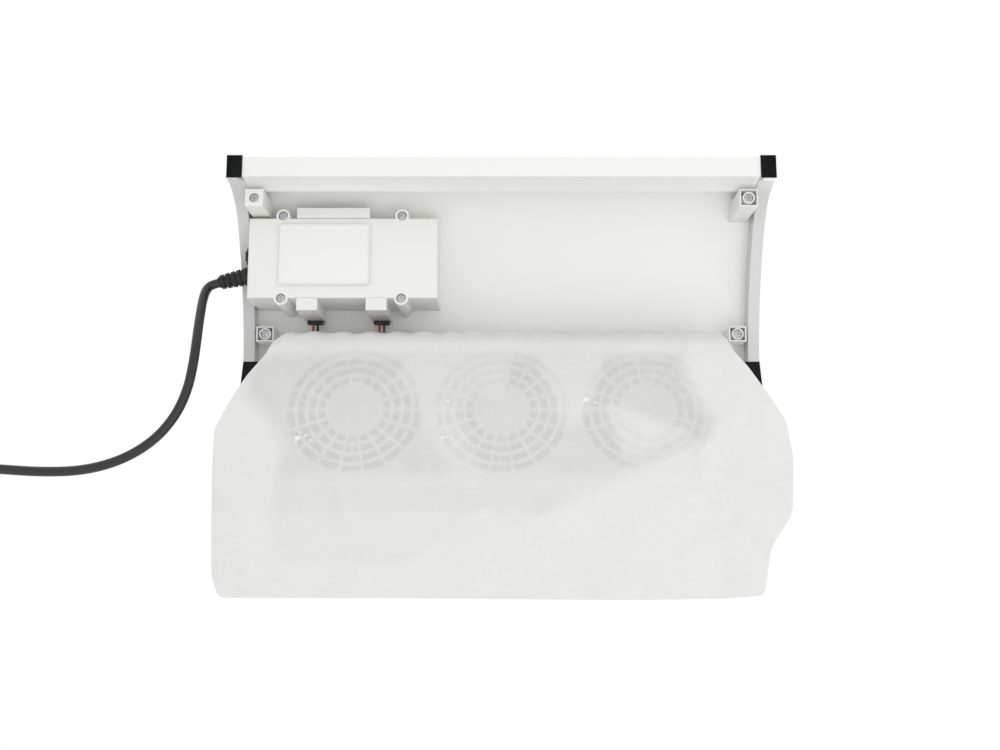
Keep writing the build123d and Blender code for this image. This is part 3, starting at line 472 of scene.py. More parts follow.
def cloth_finish(name, colour):
    """Cloth that shows what lies behind it, less where it is doubled."""
    # Spun-bonded polypropylene: felted fibres, matte, creased, lets what lies behind show through faintly
    material, tree, shader = new_material(name, colour, Roughness=0.9, Specular_IOR_Level=0.1)
    place = add_node(tree, "ShaderNodeTexCoord")
    # Clumps of fibre 3 mm across make one layer a little uneven
    clouds = add_node(
        tree,
        "ShaderNodeTexNoise",
        {"Vector": place.outputs["Object"], "Scale": 1 / (3 * MM), "Detail": 2.0, "Roughness": 0.5},
    )
    least, most = COVER_RANGE
    cover = add_node(
        tree,
        "ShaderNodeMapRange",
        {"Value": clouds.outputs["Fac"], "From Min": 0.3, "From Max": 0.7, "To Min": least, "To Max": most},
    )
    # One layer lets a little over a quarter of the light through, two layers under a tenth
    doubled = add_node(tree, "ShaderNodeAttribute", attribute_name="doubled")
    added = add_node(
        tree, "ShaderNodeMath", {0: doubled.outputs["Fac"], 1: SECOND_LAYER}, operation="MULTIPLY"
    )
    opaque = add_node(
        tree, "ShaderNodeMath", {0: cover.outputs["Result"], 1: added.outputs["Value"]}, operation="ADD"
    )
    tree.links.new(opaque.outputs["Value"], shader.inputs["Alpha"])
    # Soft folds of 60 mm, creases of 20 mm, then fibres drawn as 1.2 mm clumps, coarser than real to show
    normal = None
    for size, height, strength in ((60.0, 18.0, 0.7), (20.0, 1.2, 0.5), (1.2, 0.03, 0.5)):
        relief = add_node(
            tree,
            "ShaderNodeTexNoise",
            {"Vector": place.outputs["Object"], "Scale": 1 / (size * MM), "Detail": 1.5, "Distortion": 0.4},
        )
        inputs = {"Height": relief.outputs["Fac"], "Strength": strength, "Distance": height * MM}
        if normal:
            inputs["Normal"] = normal
        normal = add_node(tree, "ShaderNodeBump", inputs).outputs["Normal"]
    tree.links.new(normal, shader.inputs["Normal"])
    return material


class DUST_OT_stage(bpy.types.Operator):
    """Camera at the photograph's place, pale floor, soft lamps and a white surround"""

    bl_idname = "dust.stage"
    bl_label = "Stage"

    def execute(self, context):
        self.add_camera(context)
        context.scene.view_settings.view_transform = "Standard"
        self.add_floor()
        self.add_dark_cards()
        self.add_lamps()
        self.add_surround(context)
        return {"FINISHED"}

    def add_camera(self, context):
        """Camera under the table, with the back rail at the top of its picture."""
        right = Vector((-1, 0, 0))
        up = Vector((0, math.cos(CAMERA_TILT), -math.sin(CAMERA_TILT)))
        back = right.cross(up)
        camera = bpy.data.cameras.new("camera")
        camera.sensor_width = CAMERA_SENSOR
        camera.lens = CAMERA_LENS
        camera.clip_start = CAMERA_CLIP
        holder = new_object("camera", camera)
        turn = Matrix((right, up, back)).transposed()
        holder.matrix_world = Matrix.Translation(CAMERA_PLACE) @ turn.to_4x4()
        context.scene.camera = holder

    def add_floor(self):
        """Pale floor that only the camera sees, from above, and that goes over to white far away."""
        deselect()
        bpy.ops.mesh.primitive_plane_add(size=FLOOR_SIZE, location=FLOOR_PLACE)
        material, tree, shader = new_material("pale_floor", linear("D2D2D1"), Roughness=0.7)
        rays = add_node(tree, "ShaderNodeLightPath")
        surface = add_node(tree, "ShaderNodeNewGeometry")
        front = add_node(
            tree, "ShaderNodeMath", {0: 1.0, 1: surface.outputs["Backfacing"]}, operation="SUBTRACT"
        )
        shown = add_node(
            tree,
            "ShaderNodeMath",
            {0: rays.outputs["Is Camera Ray"], 1: front.outputs["Value"]},
            operation="MULTIPLY",
        )
        place = add_node(tree, "ShaderNodeTexCoord")
        distance = add_node(tree, "ShaderNodeVectorMath", {0: place.outputs["Object"]}, operation="LENGTH")
        fade_from, fade_to = FLOOR_FADE
        fade = add_node(
            tree,
            "ShaderNodeMapRange",
            {"Value": distance.outputs["Value"], "From Min": fade_from, "From Max": fade_to},
            interpolation_type="SMOOTHSTEP",
        )
        bright = add_node(tree, "ShaderNodeEmission", {"Color": (1, 1, 1, 1), "Strength": 1.0})
        surface_mix = add_node(
            tree,
            "ShaderNodeMixShader",
            {0: fade.outputs["Result"], 1: shader.outputs["BSDF"], 2: bright.outputs["Emission"]},
        )
        clear = add_node(tree, "ShaderNodeBsdfTransparent")
        mix = add_node(
            tree,
            "ShaderNodeMixShader",
            {0: shown.outputs["Value"], 1: clear.outputs["BSDF"], 2: surface_mix.outputs["Shader"]},
        )
        tree.links.new(mix.outputs["Shader"], tree.nodes["Material Output"].inputs["Surface"])
        settle(bpy.context.object, "floor", material)

    def add_dark_cards(self):
        """Dark studio cards under the table's ends that only the chrome reflects."""
        material = new_material("dark_card", linear("0C0C0D"), Roughness=1.0)[0]
        x, y, z = CARD_PLACE
        for name, side in zip(sides("dark_card"), (1, -1)):
            deselect()
            bpy.ops.mesh.primitive_plane_add(size=1.0, location=(side * x, y, z))
            card = bpy.context.object
            card.scale = CARD_SIZE
            settle(card, name, material)
            for ray in ("camera", "diffuse", "transmission", "volume_scatter", "shadow"):
                setattr(card, f"visible_{ray}", False)

    def add_lamps(self):
        """Wide soft lamps, two under the table and two over it."""
        for name, place, target, size, power in LAMPS:
            lamp = bpy.data.lights.new(name, "AREA")
            lamp.shape = "DISK"
            lamp.size = size
            lamp.energy = power
            holder = new_object(name, lamp)
            way = Vector(target) - Vector(place)
            turn = way.to_track_quat("-Z", "Y").to_matrix().to_4x4()
            holder.matrix_world = Matrix.Translation(place) @ turn
            # The lamp under the back is kept out of the chrome, which shows the dark cards instead
            holder.visible_glossy = name != "lamp_under_back"

    def add_surround(self, context):
        """White surround, at full white where the camera or a reflection sees it."""
        world = bpy.data.worlds.new("surround")
        world.use_nodes = True
        context.scene.world = world
        tree = world.node_tree
        rays = add_node(tree, "ShaderNodeLightPath")
        seen = add_node(
            tree,
            "ShaderNodeMath",
            {0: rays.outputs["Is Camera Ray"], 1: rays.outputs["Is Glossy Ray"]},
            operation="MAXIMUM",
        )
        seen = add_node(
            tree,
            "ShaderNodeMath",
            {0: seen.outputs["Value"], 1: rays.outputs["Is Transmission Ray"]},
            operation="MAXIMUM",
        )
        strength = add_node(
            tree,
            "ShaderNodeMapRange",
            {"Value": seen.outputs["Value"], "To Min": SURROUND_LIGHT, "To Max": 1.0},
        )
        surround = tree.nodes["Background"]
        surround.inputs["Color"].default_value = (1, 1, 1, 1)
        tree.links.new(strength.outputs["Result"], surround.inputs["Strength"])


class DUST_OT_mains_lead(bpy.types.Operator):
    """Mains lead: free run along the table, tied coil and the tail to the plug"""

    bl_idname = "dust.mains_lead"
    bl_label = "Mains lead"

    def coil_points(self):
        """Points of the coil's turns, half a turn at a time, then the way to the plug."""
        x0, forward0 = COIL_CENTRE
        turns = [(COIL_RADIUS - COIL_STEP * turn, COIL_Z) for turn in COIL_LOWER]
        turns += [(COIL_RADIUS - COIL_STEP * turn, COIL_Z + COIL_LAYER) for turn in COIL_UPPER]
        points = []
        for k, ((r0, z0), (r1, z1)) in enumerate(zip(turns, turns[1:])):
            for step in range(COIL_POINTS_PER_HALF):
                share = step / COIL_POINTS_PER_HALF
                ease = (1 - math.cos(math.pi * share)) / 2
                angle = math.pi * (k + share) - math.pi / 2
                radius = r0 + (r1 - r0) * ease
                z = z0 + (z1 - z0) * ease
                points.append((x0 + radius * math.cos(angle), forward0 - radius * math.sin(angle), z))
        top = COIL_Z + COIL_LAYER
        for share in LEAVE_SHARES:
            angle = math.pi / 2 * share - math.pi / 2
            radius = COIL_RADIUS + (LEAD_LEAVE_RADIUS - COIL_RADIUS) * share
            points.append((x0 + radius * math.cos(angle), forward0 - radius * math.sin(angle), top))
        x = x0 + LEAD_LEAVE_RADIUS
        points += [
            (x, forward0, top),
            (x, forward0 - LEAD_TAIL * TAIL_BENDS_AT, top - TAIL_BEND),
            (x, forward0 - LEAD_TAIL * TAIL_DOWN_AT, PLUG_CORD_Z),
            (x, forward0 - LEAD_TAIL, PLUG_CORD_Z),
            (x, forward0 - LEAD_TAIL - PLUG_GAP, PLUG_CORD_Z),
        ]
        return points

    def execute(self, context):
        sizes = context.scene.dust_sizes
        # Soft vinyl jacket: smooth, dark, low sheen
        colour = context.scene.dust_colours.lead
        material = grained("vinyl_jacket", colour, size_mm=0.8, height_mm=0.02, Roughness=0.42)
        curve = bpy.data.curves.new("mains_lead", "CURVE")
        curve.dimensions = "3D"
        curve.bevel_depth = sizes.lead_diameter / 2
        curve.bevel_resolution = 5
        curve.resolution_u = 8
        curve.use_fill_caps = True
        spline = curve.splines.new("NURBS")
        points = [forward_point(*p) for p in (*LEAD_RUN, *self.coil_points())]
        spline.points.add(len(points) - 1)
        for target, point in zip(spline.points, points):
            target.co = (*point, 1.0)
        spline.order_u = 3
        spline.use_endpoint_u = True
        curve.materials.append(material)
        lead = new_object("mains_lead", curve)
        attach(lead, "case")
        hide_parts("cord_run", "cord_coil")
        return {"FINISHED"}


def frame_point(x, y, z):
    """A place in metres from local millimetres of the exhaust frame."""
    across = Vector((0, math.cos(FAN_SLOPE), math.sin(FAN_SLOPE)))
    normal = Vector((0, -math.sin(FAN_SLOPE), math.cos(FAN_SLOPE)))
    return (SLOPE_MIDDLE + Vector((x, 0, 0)) + across * y + normal * z) * MM


def spread(run, count):
    """Evenly spaced points along an open run, without its last point."""
    lengths = [(b - a).length for a, b in zip(run, run[1:])]
    places = []
    for k in range(count):
        want = sum(lengths) * k / count
        index = 0
        while want > lengths[index]:
            want -= lengths[index]
            index += 1
        places.append(run[index].lerp(run[index + 1], want / lengths[index]))
    return places


def rounded_runs(half_x, half_y, corner):
    """Cord side, front, far side and back of a rounded rectangle, each from corner to corner."""
    signs = ((1, 1), (1, -1), (-1, -1), (-1, 1))
    centres = [Vector((sx * (half_x - corner), sy * (half_y - corner))) for sx, sy in signs]
    runs = []
    for k in range(4):
        run = []
        for j, turn in ((k, 0), (k + 1, -45)):
            for step in range(CORNER_STEPS + 1):
                angle = math.radians(45 - 90 * k + turn - 45 * step / CORNER_STEPS)
                run.append(centres[j % 4] + corner * Vector((math.cos(angle), math.sin(angle))))
        runs.append(run)
    return runs


def outline_runs(outline, corners):
    """The same four runs of an outline that is drawn on the table."""
    points = [Vector(p) for p in outline]
    points.append(points[0])
    marks = (*corners, len(outline))
    return [points[a : b + 1] for a, b in zip(marks, marks[1:])]


def softened(ring, rounds):
    """Ring with its corners eased by averaging neighbours."""
    for _ in range(rounds):
        ring = [(a + 2 * b + c) / 4 for a, b, c in zip(ring[-1:] + ring[:-1], ring, ring[1:] + ring[:1])]
    return ring


def waves(x, y, seed, size):
    """Smooth noise between about -1 and 1, with waves of a given size."""
    return noise.noise((x / size, y / size, seed))


class DUST_OT_bag(bpy.types.Operator):
    """Non-woven dust bag: gathered hem on the exhaust frame, slack body and flat base"""

    bl_idname = "dust.bag"
    bl_label = "Dust bag"

    def frame_ring(self, grow, z, pleat):
        """Ring round the exhaust frame, grown outward, with its gathers."""
        half_x = FRAME_LENGTH / 2 + grow
        half_y = FRAME_WIDTH / 2 + grow
        ring = []
        for run, count in zip(rounded_runs(half_x, half_y, FRAME_CORNER + grow), RING_COUNTS):
            for place in spread(run, count):
                outward = Vector((place.x / half_x, place.y / half_y)).normalized()
                wave = self.gather(len(ring))
                place = place + outward * pleat * wave
                ring.append(frame_point(place.x, place.y, z))
        return ring

    def gather(self, k):
        """Irregular gathers, 0 to 1, round the hem."""
        drift = GATHER_DRIFT * noise.noise((k * GATHER_DRIFT_PER_POINT, 0.0, GATHER_SEED))
        return 0.5 + 0.5 * math.sin(k * GATHER_TURN + drift)

    def lift(self, y):
        """How far the cloth hangs above the table at a place near the back."""
        share = (BACK_LIFT_ENDS_AT - BACK_Y + y / MM) / BACK_LIFT_RUN
        share = min(max(share, 0.0), BACK_LIFT_MOST)
        return BACK_LIFT * MM * share * share

    def table_ring(self, outline, corners, z, rounds):
        """Ring on an outline near the table."""
        flat = []
        for run, count in zip(outline_runs(outline, corners), RING_COUNTS):
            flat += spread(run, count)
        ring = [forward_point(p.x, p.y, z) for p in softened(flat, rounds)]
        return [p + Vector((0, 0, self.lift(p.y))) for p in ring]

    def wall_point(self, high, low, share):
        """Point of the slack body between the hem and its foot: full in front, hanging at the back."""
        side = (high.y / MM - HEM_MIDDLE_Y) / HEM_HALF_DEPTH
        front = max(0.0, -side) ** FRONT_SHARPNESS
        back = max(0.0, side) ** BACK_SHARPNESS
        middle = high.lerp(low, 0.5) + FRONT_PUSH * MM * front
        hang = Vector((middle.x, high.y - BACK_HANG_FORWARD * MM, low.z + BACK_HANG_ABOVE * MM))
        middle = middle.lerp(hang, min(1.0, back))
        return high.lerp(middle, share).lerp(middle.lerp(low, share), share)

    def wall_rings(self, mouth, foot, sizes):
        """Rings of the slack body between the hem and its foot on the table."""
        rings = []
        for step in range(1, WALL_STEPS + 1):
            share = step / WALL_STEPS
            slack = math.sin(math.pi * share)
            ring = []
            for k, (high, low) in enumerate(zip(mouth, foot)):
                point = self.wall_point(high, low, share)
                outward = Vector((high.x / FRAME_LENGTH, (high.y - HEM_MIDDLE_Y * MM) / FRAME_WIDTH, 0))
                pleat = sizes.pleat_height * (self.gather(k) - 0.5) * (1 - share) ** PLEAT_FADE
                wave = waves(k * POINT_PITCH, share * WALL_HEIGHT, WALL_WAVE_SEED, WALL_WAVE)
                wrinkle = sizes.wrinkle_height * wave * slack
                point += outward.normalized() * (pleat + wrinkle * WALL_WAVE_SPLIT)
                point.z = max(point.z + wrinkle * WALL_WAVE_SPLIT, low.z)
                ring.append(point)
            rings.append(ring)
        return rings

    def base_middle(self, point):
        """Place on the line along the middle of the base that a point of the edge draws in to."""
        return Vector((min(max(point.x, -BASE_LINE * MM), BASE_LINE * MM), BASE_MIDDLE_Y * MM, 0))

    def base_rings(self, edge, sizes):
        """Rings of the base, from the bag's edge in to a line along its middle."""
        rings = []
        rise, rise_from = BASE_RISE
        fall, fall_to = BASE_FALL
        for step in range(1, BASE_STEPS):
            share = step / BASE_STEPS
            ease = min(1.0, max(0.0, rise * share - rise_from), fall * (1 - share) - fall_to)
            ring = []
            for point in edge:
                place = point.lerp(self.base_middle(point), share)
                wrinkle = 0.5 + 0.5 * waves(place.x / MM, place.y / MM, BASE_WAVE_SEED, BASE_WAVE)
                height = BASE_WAVE_SHARE * wrinkle * ease * sizes.wrinkle_height
                place.z = BASE_Z * MM + self.lift(place.y) + height
                ring.append(place)
            rings.append(ring)
        return rings

    def closing_faces(self, first):
        """Faces that join the last ring's front and back runs and close its two ends."""
        side, front, far = RING_COUNTS[0], sum(RING_COUNTS[:2]), sum(RING_COUNTS[:3])
        last = sum(RING_COUNTS) - 1
        faces = [(side + k, side + k + 1, last - k - 1, last - k) for k in range(RING_COUNTS[1] - 1)]
        faces.append((last, *range(side + 1)))
        faces.append(tuple(range(front - 1, far + 1)))
        return [tuple(first + k for k in face) for face in faces]

    def gap_to(self, spot, outline):
        """Distance from a spot to an outline, nought inside it."""
        corners = [Vector(corner) for corner in outline]
        inside = False
        gap = math.inf
        for a, b in zip(corners, corners[1:] + corners[:1]):
            crosses = (a.y > spot.y) != (b.y > spot.y)
            if crosses and spot.x < a.x + (b.x - a.x) * (spot.y - a.y) / (b.y - a.y):
                inside = not inside
            share = min(max((spot - a).dot(b - a) / (b - a).length_squared, 0.0), 1.0)
            gap = min(gap, (spot - a.lerp(b, share)).length)
        return 0.0 if inside else gap

    def doubling(self, point):
        """Share of a second layer of cloth at a place: none in the window, full round it."""
        spot = Vector((point.x / MM, BACK_Y - point.y / MM))
        thick = min(1.0, self.gap_to(spot, WINDOW) / WINDOW_BLUR)
        for start, end, most in WINDOW_CLOSING:
            thick = max(thick, most * min(max((spot.y - start) / (end - start), 0.0), 1.0))
        for most, outline in FOLDS:
            thick = max(thick, most * (1.0 - self.gap_to(spot, outline) / FOLD_BLUR))
        return thick

    def all_rings(self, sizes):
        """Rings of the whole bag: hem, slack body, flat edge and base."""
        rings = [self.frame_ring(grow, z, share * sizes.pleat_height / MM) for grow, z, share in HEM_ROLL]
        foot = self.table_ring(BAG_FOOT, FOOT_CORNERS, FLANGE_Z, FOOT_EASING)
        edge = self.table_ring(BAG_OUTLINE, OUTLINE_CORNERS, FLANGE_Z / 2, OUTLINE_EASING)
        under = [p.lerp(self.base_middle(p), BASE_EDGE_ROUND) for p in edge]
        under = [Vector((p.x, p.y, BASE_Z * MM + self.lift(p.y))) for p in under]
        rings += self.wall_rings(rings[-1], foot, sizes)
        rings += [[a.lerp(b, 0.5) for a, b in zip(foot, edge)], edge, under]
        return rings + self.base_rings(under, sizes)

    def ring_faces(self, rows, count):
        """Faces between each ring and the next."""
        faces = []
        for row in range(rows - 1):
            here, below = row * count, (row + 1) * count
            for k in range(count):
                after = (k + 1) % count
                faces.append((here + k, here + after, below + after, below + k))
        return faces

    def execute(self, context):
        rings = self.all_rings(context.scene.dust_sizes)
        count = len(rings[0])
        faces = self.ring_faces(len(rings), count) + self.closing_faces((len(rings) - 1) * count)
        mesh = bpy.data.meshes.new("dust_bag_cloth")
        points = [p for ring in rings for p in ring]
        mesh.from_pydata(points, [], faces)
        doubled = mesh.attributes.new("doubled", "FLOAT", "POINT")
        doubled.data.foreach_set("value", [self.doubling(p) for p in points])
        bag = new_object("dust_bag_cloth", mesh)
        choose(bag)
        bpy.ops.object.mode_set(mode="EDIT")
        bpy.ops.mesh.select_all(action="SELECT")
        bpy.ops.mesh.normals_make_consistent(inside=False)
        bpy.ops.object.mode_set(mode="OBJECT")
        bpy.ops.object.shade_smooth_by_angle(angle=CLOTH_SHARP_FROM)
        colour = context.scene.dust_colours.cloth
        settle(bag, "dust_bag_cloth", cloth_finish("spun_bonded_cloth", colour))
        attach(bag, "case")
        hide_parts("dust_bag")
        return {"FINISHED"}


class DUST_OT_finishes(bpy.types.Operator):
    """Finishes of the moulded, metal and electrical pieces"""

    bl_idname = "dust.finishes"
    bl_label = "Finishes"

    def execute(self, context):
        self.paint_mouldings(context.scene.dust_colours)
        self.paint_rims()
        self.paint_metals()
        self.paint_electrics()
        self.paint_mains_pieces()
        self.paint_elastic()
        return {"FINISHED"}

    def paint_mouldings(self, colours):
        """Case, inner pieces, guards and fans."""
        # Injection-moulded ABS with a fine spark-eroded texture: soft, even sheen
        case = ("top_shell", "back_rail")
        grained("moulded_abs", colours.case, *case, size_mm=0.9, height_mm=0.02, Roughness=0.4, IOR=ABS_IOR)
        # The same ABS from a smoother mould: a little glossier
        blocks = [name for end in ("back", "front") for name in sides(f"corner_block_{end}")]
        inner = (*blocks, "power_box_cover", "lead_clip")
        grained(
            "moulded_abs_inner",
            colours.inner,
            *inner,
            size_mm=1.2,
            height_mm=0.015,
            Roughness=0.34,
            IOR=ABS_IOR,
        )
        # Polypropylene guards and duct frame: a little waxy
        guards = ("exhaust_frame", *fans("intake_grille"))
        white = linear("F1F1EF")
        grained(
            "moulded_polypropylene",
            white,
            *guards,
            size_mm=1.0,
            height_mm=0.015,
            Roughness=0.45,
            IOR=1.49,
        )
        # Glass-filled nylon fans: pale grey, matte
        grey = linear("B4B6B6")
        pieces = (*fans("fan_housing"), *fans("fan_rotor"))
        grained("glass_filled_nylon", grey, *pieces, size_mm=0.6, height_mm=0.02, Roughness=0.5)

    def paint_rims(self):
        """Side bands, plated by the place and lean of each face."""
        # Rim moulding: bare plastic underneath, painted greyer than the case as painted shade, chrome on its
        # top and outer side
        rim, tree, shader = new_material("part_plated_rim", linear(RIM_GREY_PAINTED_SHADE), IOR=ABS_IOR)
        grain(tree, shader, size_mm=2.5, height_mm=0.02)
        place = add_node(tree, "ShaderNodeTexCoord")
        axes = add_node(tree, "ShaderNodeSeparateXYZ", {"Vector": place.outputs["Object"]})
        across = add_node(tree, "ShaderNodeMath", {0: axes.outputs["X"]}, operation="ABSOLUTE")
        outer = add_node(
            tree,
            "ShaderNodeMath",
            {0: across.outputs["Value"], 1: RIM_PLATING_FROM * MM},
            operation="GREATER_THAN",
        )
        facing = add_node(tree, "ShaderNodeNewGeometry")
        lean = add_node(tree, "ShaderNodeSeparateXYZ", {"Vector": facing.outputs["True Normal"]})
        upper, level = (
            add_node(tree, "ShaderNodeMath", {0: lean.outputs["Z"], 1: limit}, operation="GREATER_THAN")
            for limit in (RIM_PLATING_LEAN, -RIM_PLATING_LEAN)
        )
        side = add_node(
            tree,
            "ShaderNodeMath",
            {0: outer.outputs["Value"], 1: level.outputs["Value"]},
            operation="MULTIPLY",
        )
        plated = add_node(
            tree,
            "ShaderNodeMath",
            {0: side.outputs["Value"], 1: upper.outputs["Value"]},
            operation="MAXIMUM",
        ).outputs["Value"]
        colour = add_node(tree, "ShaderNodeMix", {"Factor": plated}, data_type="RGBA")
        # Faces that are not plated take the grey of painted shade, plated faces take chrome
        colour.inputs["A"].default_value = (*linear(RIM_GREY_PAINTED_SHADE), 1.0)
        colour.inputs["B"].default_value = (*linear(CHROME), 1.0)
        shine = add_node(
            tree,
            "ShaderNodeMapRange",
            {"Value": plated, "To Min": PLASTIC_ROUGHNESS, "To Max": CHROME_ROUGHNESS},
        )
        tree.links.new(colour.outputs["Result"], shader.inputs["Base Color"])
        tree.links.new(plated, shader.inputs["Metallic"])
        tree.links.new(shine.outputs["Result"], shader.inputs["Roughness"])
        paint(rim, *sides("side_band"))

    def paint_metals(self):
        """Plated feet and legs, screws, shafts and bearings."""
        # Bright chrome on moulded plastic: mirror-like with a few faint ripples
        plated = (*sides("back_foot"), *sides("front_leg"))
        grained(
            "chrome_plate",
            linear(CHROME),
            *plated,
            size_mm=7.0,
            height_mm=0.02,
            detail=RIPPLE_DETAIL,
            Metallic=1.0,
            Roughness=CHROME_ROUGHNESS,
        )
        # Zinc-plated steel: satin, slightly blue
        steel = ("corner_screws", "power_box_screws", "lead_clip_screw", "fan_screws", *fans("fan_shaft"))
        zinc = linear("CBCDCF")
        grained("zinc_plated_steel", zinc, *steel, size_mm=0.35, height_mm=0.01, Metallic=1.0, Roughness=0.45)
        # Sintered bronze: dull, fine pores
        bushes = fans("fan_bearing")
        bronze = linear("A9814F")
        grained("sintered_bronze", bronze, *bushes, size_mm=0.3, height_mm=0.03, Metallic=1.0, Roughness=0.45)

    def paint_electrics(self):
        """Windings, driver board and its capacitor, switch, connectors and fan leads."""
        # Enamelled copper windings: glossy turns of 0.4 mm wire, drawn at twice their pitch so that they show
        copper = linear("A5672F")
        winding, tree, shader = new_material("enamelled_copper", copper, Roughness=0.3, Coat_Weight=0.6)
        ridges(tree, shader, pitch_mm=0.8, height_mm=0.3, direction="Z", wander=0.6, strength=0.8)
        paint(winding, *fans("fan_stator"), "transformer")
        # Glass-epoxy board under green solder resist: smooth, half gloss
        green = linear("2F6B45")
        grained("glass_epoxy_board", green, "driver_board", size_mm=0.8, height_mm=0.02, Roughness=0.35)
        # Shrunk vinyl sleeve: tight and glossy with a slow ripple
        blue = linear("2B3A63")
        grained("shrink_sleeve", blue, "capacitor", size_mm=3.0, height_mm=0.02, Roughness=0.25)
        # Polyamide switch and connectors: black, fine texture
        black = linear("1B1B1C")
        pieces = ("switch_housing", "switch_rocker", "lead_connector_outer", "lead_connector_inner")
        grained("black_polyamide", black, *pieces, size_mm=0.5, height_mm=0.02, Roughness=0.42)
        # Extruded vinyl insulation: smooth, half gloss
        red, dark = linear("C0281E"), linear("202021")
        grained("red_insulation", red, "fan_leads_red", size_mm=0.6, height_mm=0.02, Roughness=0.4)
        dark_pieces = ("fan_leads_black", "coil_tie")
        grained("black_insulation", dark, *dark_pieces, size_mm=0.6, height_mm=0.02, Roughness=0.4)

    def paint_mains_pieces(self):
        """Cord gland, plug and its pins."""
        # Moulded soft vinyl: black, dull, a little uneven
        vinyl = linear("121213")
        pieces = ("cord_gland", "plug_body")
        grained("moulded_vinyl", vinyl, *pieces, size_mm=0.7, height_mm=0.03, Roughness=0.55)
        # Nickel-plated brass: bright, faintly yellow
        nickel = linear("CFC9BD")
        grained(
            "nickel_plated_brass",
            nickel,
            "plug_pins",
            size_mm=0.4,
            height_mm=0.01,
            Metallic=1.0,
            Roughness=0.2,
        )

    def paint_elastic(self):
        """Elastic in the bag's hem."""
        # Knitted elastic: ribs across a white band, 1.2 mm apart
        elastic, tree, shader = new_material("knitted_elastic", linear("E6E6E3"), Roughness=0.8)
        ridges(tree, shader, pitch_mm=1.2, height_mm=0.3, direction="X", wander=0.3, strength=0.6)
        paint(elastic, "bag_elastic")


class DUST_OT_blank_label(bpy.types.Operator):
    """Blank film label on the underside of the power box"""

    bl_idname = "dust.blank_label"
    bl_label = "Blank label"

    def execute(self, context):
        x0, x1, near, far, low, high = LABEL_BOX
        deselect()
        middle = forward_point((x0 + x1) / 2, (near + far) / 2, (low + high) / 2)
        bpy.ops.mesh.primitive_cube_add(size=1.0, location=middle)
        label = bpy.context.object
        label.scale = ((x1 - x0) * MM, (far - near) * MM, (high - low) * MM)
        bpy.ops.object.transform_apply(location=False, rotation=False, scale=True)
        bpy.ops.object.mode_set(mode="EDIT")
        bpy.ops.mesh.select_all(action="DESELECT")
        bpy.ops.object.mode_set(mode="OBJECT")
        # The four upright edges are the label's corners
        for edge in label.data.edges:
            a, b = (label.data.vertices[v].co for v in edge.vertices)
            edge.select = abs(a.z - b.z) > 0.5 * (high - low) * MM
        bpy.ops.object.mode_set(mode="EDIT")
        bpy.ops.mesh.select_mode(type="EDGE")
        bpy.ops.mesh.bevel(offset=LABEL_CORNER * MM, segments=LABEL_CORNER_STEPS)
        bpy.ops.object.mode_set(mode="OBJECT")
        # Polyester film with a gloss overlay: flat, bright, faintly rippled
        white = linear("ECECEB")
        material = grained(
            "gloss_film", white, size_mm=9.0, height_mm=0.02, detail=RIPPLE_DETAIL, Roughness=0.3, IOR=1.45
        )
        settle(label, "blank_label", material)
        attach(label, "case")
        return {"FINISHED"}


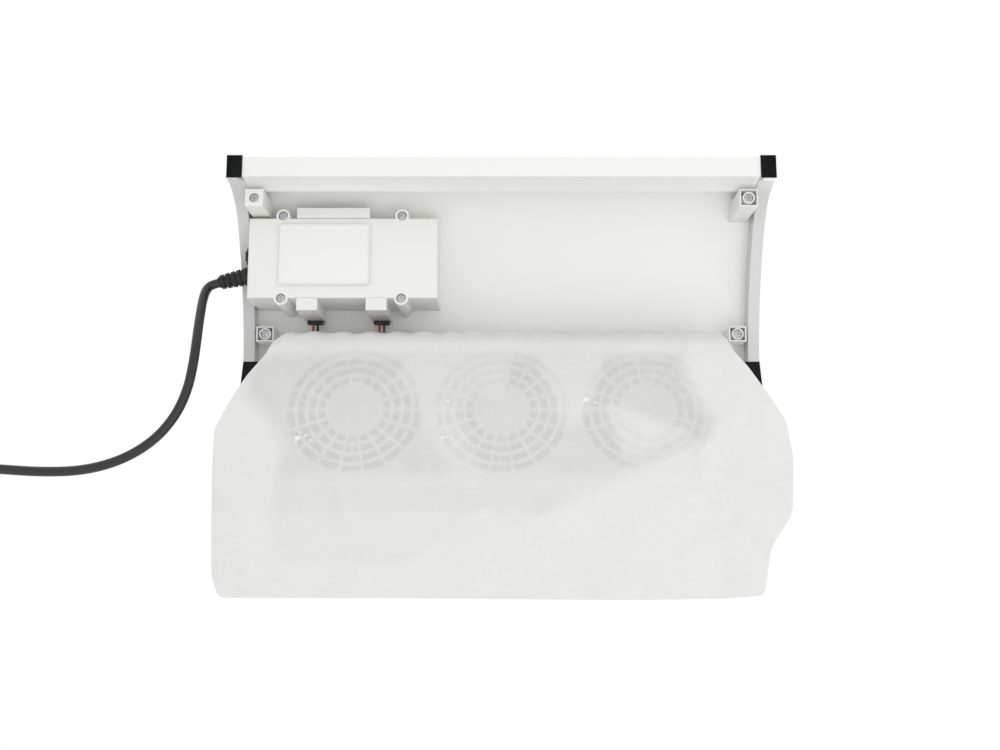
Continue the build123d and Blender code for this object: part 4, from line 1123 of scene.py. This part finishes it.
class DUST_OT_pocketed_blocks(bpy.types.Operator):
    """Corner blocks with a moulded pocket round the boss of their screw"""

    bl_idname = "dust.pocketed_blocks"
    bl_label = "Pocketed corner blocks"

    def execute(self, context):
        for place in POCKETED_BLOCKS:
            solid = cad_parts[f"corner_block_{place}"]
            block = new_object(f"pocketed_block_{place}", solid.data.copy())
            choose(block)
            bpy.ops.object.mode_set(mode="EDIT")
            bpy.ops.mesh.select_mode(type="FACE")
            bpy.ops.mesh.select_all(action="SELECT")
            bpy.ops.mesh.remove_doubles(threshold=SAME_POINT * MM)
            bpy.ops.mesh.select_all(action="DESELECT")
            bpy.ops.object.mode_set(mode="OBJECT")
            low = min(vertex.co.z for vertex in block.data.vertices)
            for face in block.data.polygons:
                face.select = face.normal.z < FACING_DOWN and face.center.z < low + SAME_LEVEL * MM
            bpy.ops.object.mode_set(mode="EDIT")
            bpy.ops.mesh.inset(thickness=POCKET_WALL * MM)
            bpy.ops.mesh.extrude_region_move(TRANSFORM_OT_translate={"value": (0, 0, POCKET_DEPTH * MM)})
            bpy.ops.object.mode_set(mode="OBJECT")
            bpy.ops.object.shade_smooth_by_angle(angle=BLOCK_SHARP_FROM)
            settle(block, f"pocketed_block_{place}")
            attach(block, "case")
            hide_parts(f"corner_block_{place}")
        return {"FINISHED"}


class DUST_PT_panel(bpy.types.Panel):
    """Pieces of the dust collector"""

    bl_idname = "DUST_PT_panel"
    bl_label = "Dust collector"
    bl_space_type = "VIEW_3D"
    bl_region_type = "UI"
    bl_category = "Dust collector"

    def draw(self, context):
        layout = self.layout
        for group in (context.scene.dust_sizes, context.scene.dust_colours):
            for name in group.bl_rna.properties.keys():
                if name not in ("rna_type", "name"):
                    layout.prop(group, name)
        for operator in OPERATORS:
            layout.operator(operator.bl_idname)


OPERATORS = (
    DUST_OT_stage,
    DUST_OT_mains_lead,
    DUST_OT_bag,
    DUST_OT_finishes,
    DUST_OT_blank_label,
    DUST_OT_pocketed_blocks,
)
CLASSES = (DustCollectorSizes, DustCollectorColours, *OPERATORS, DUST_PT_panel)


def register():
    """Add the classes and the groups of sizes and colours."""
    for item in CLASSES:
        bpy.utils.register_class(item)
    bpy.types.Scene.dust_sizes = bpy.props.PointerProperty(type=DustCollectorSizes)
    bpy.types.Scene.dust_colours = bpy.props.PointerProperty(type=DustCollectorColours)


def unregister():
    """Take the groups and the classes away again."""
    del bpy.types.Scene.dust_colours
    del bpy.types.Scene.dust_sizes
    for item in reversed(CLASSES):
        bpy.utils.unregister_class(item)


def main():
    """Build the dressed model."""
    register()
    bpy.ops.dust.stage()
    bpy.ops.dust.mains_lead()
    bpy.ops.dust.bag()
    bpy.ops.dust.finishes()
    bpy.ops.dust.blank_label()
    bpy.ops.dust.pocketed_blocks()


if __name__ == "__main__":
    main()
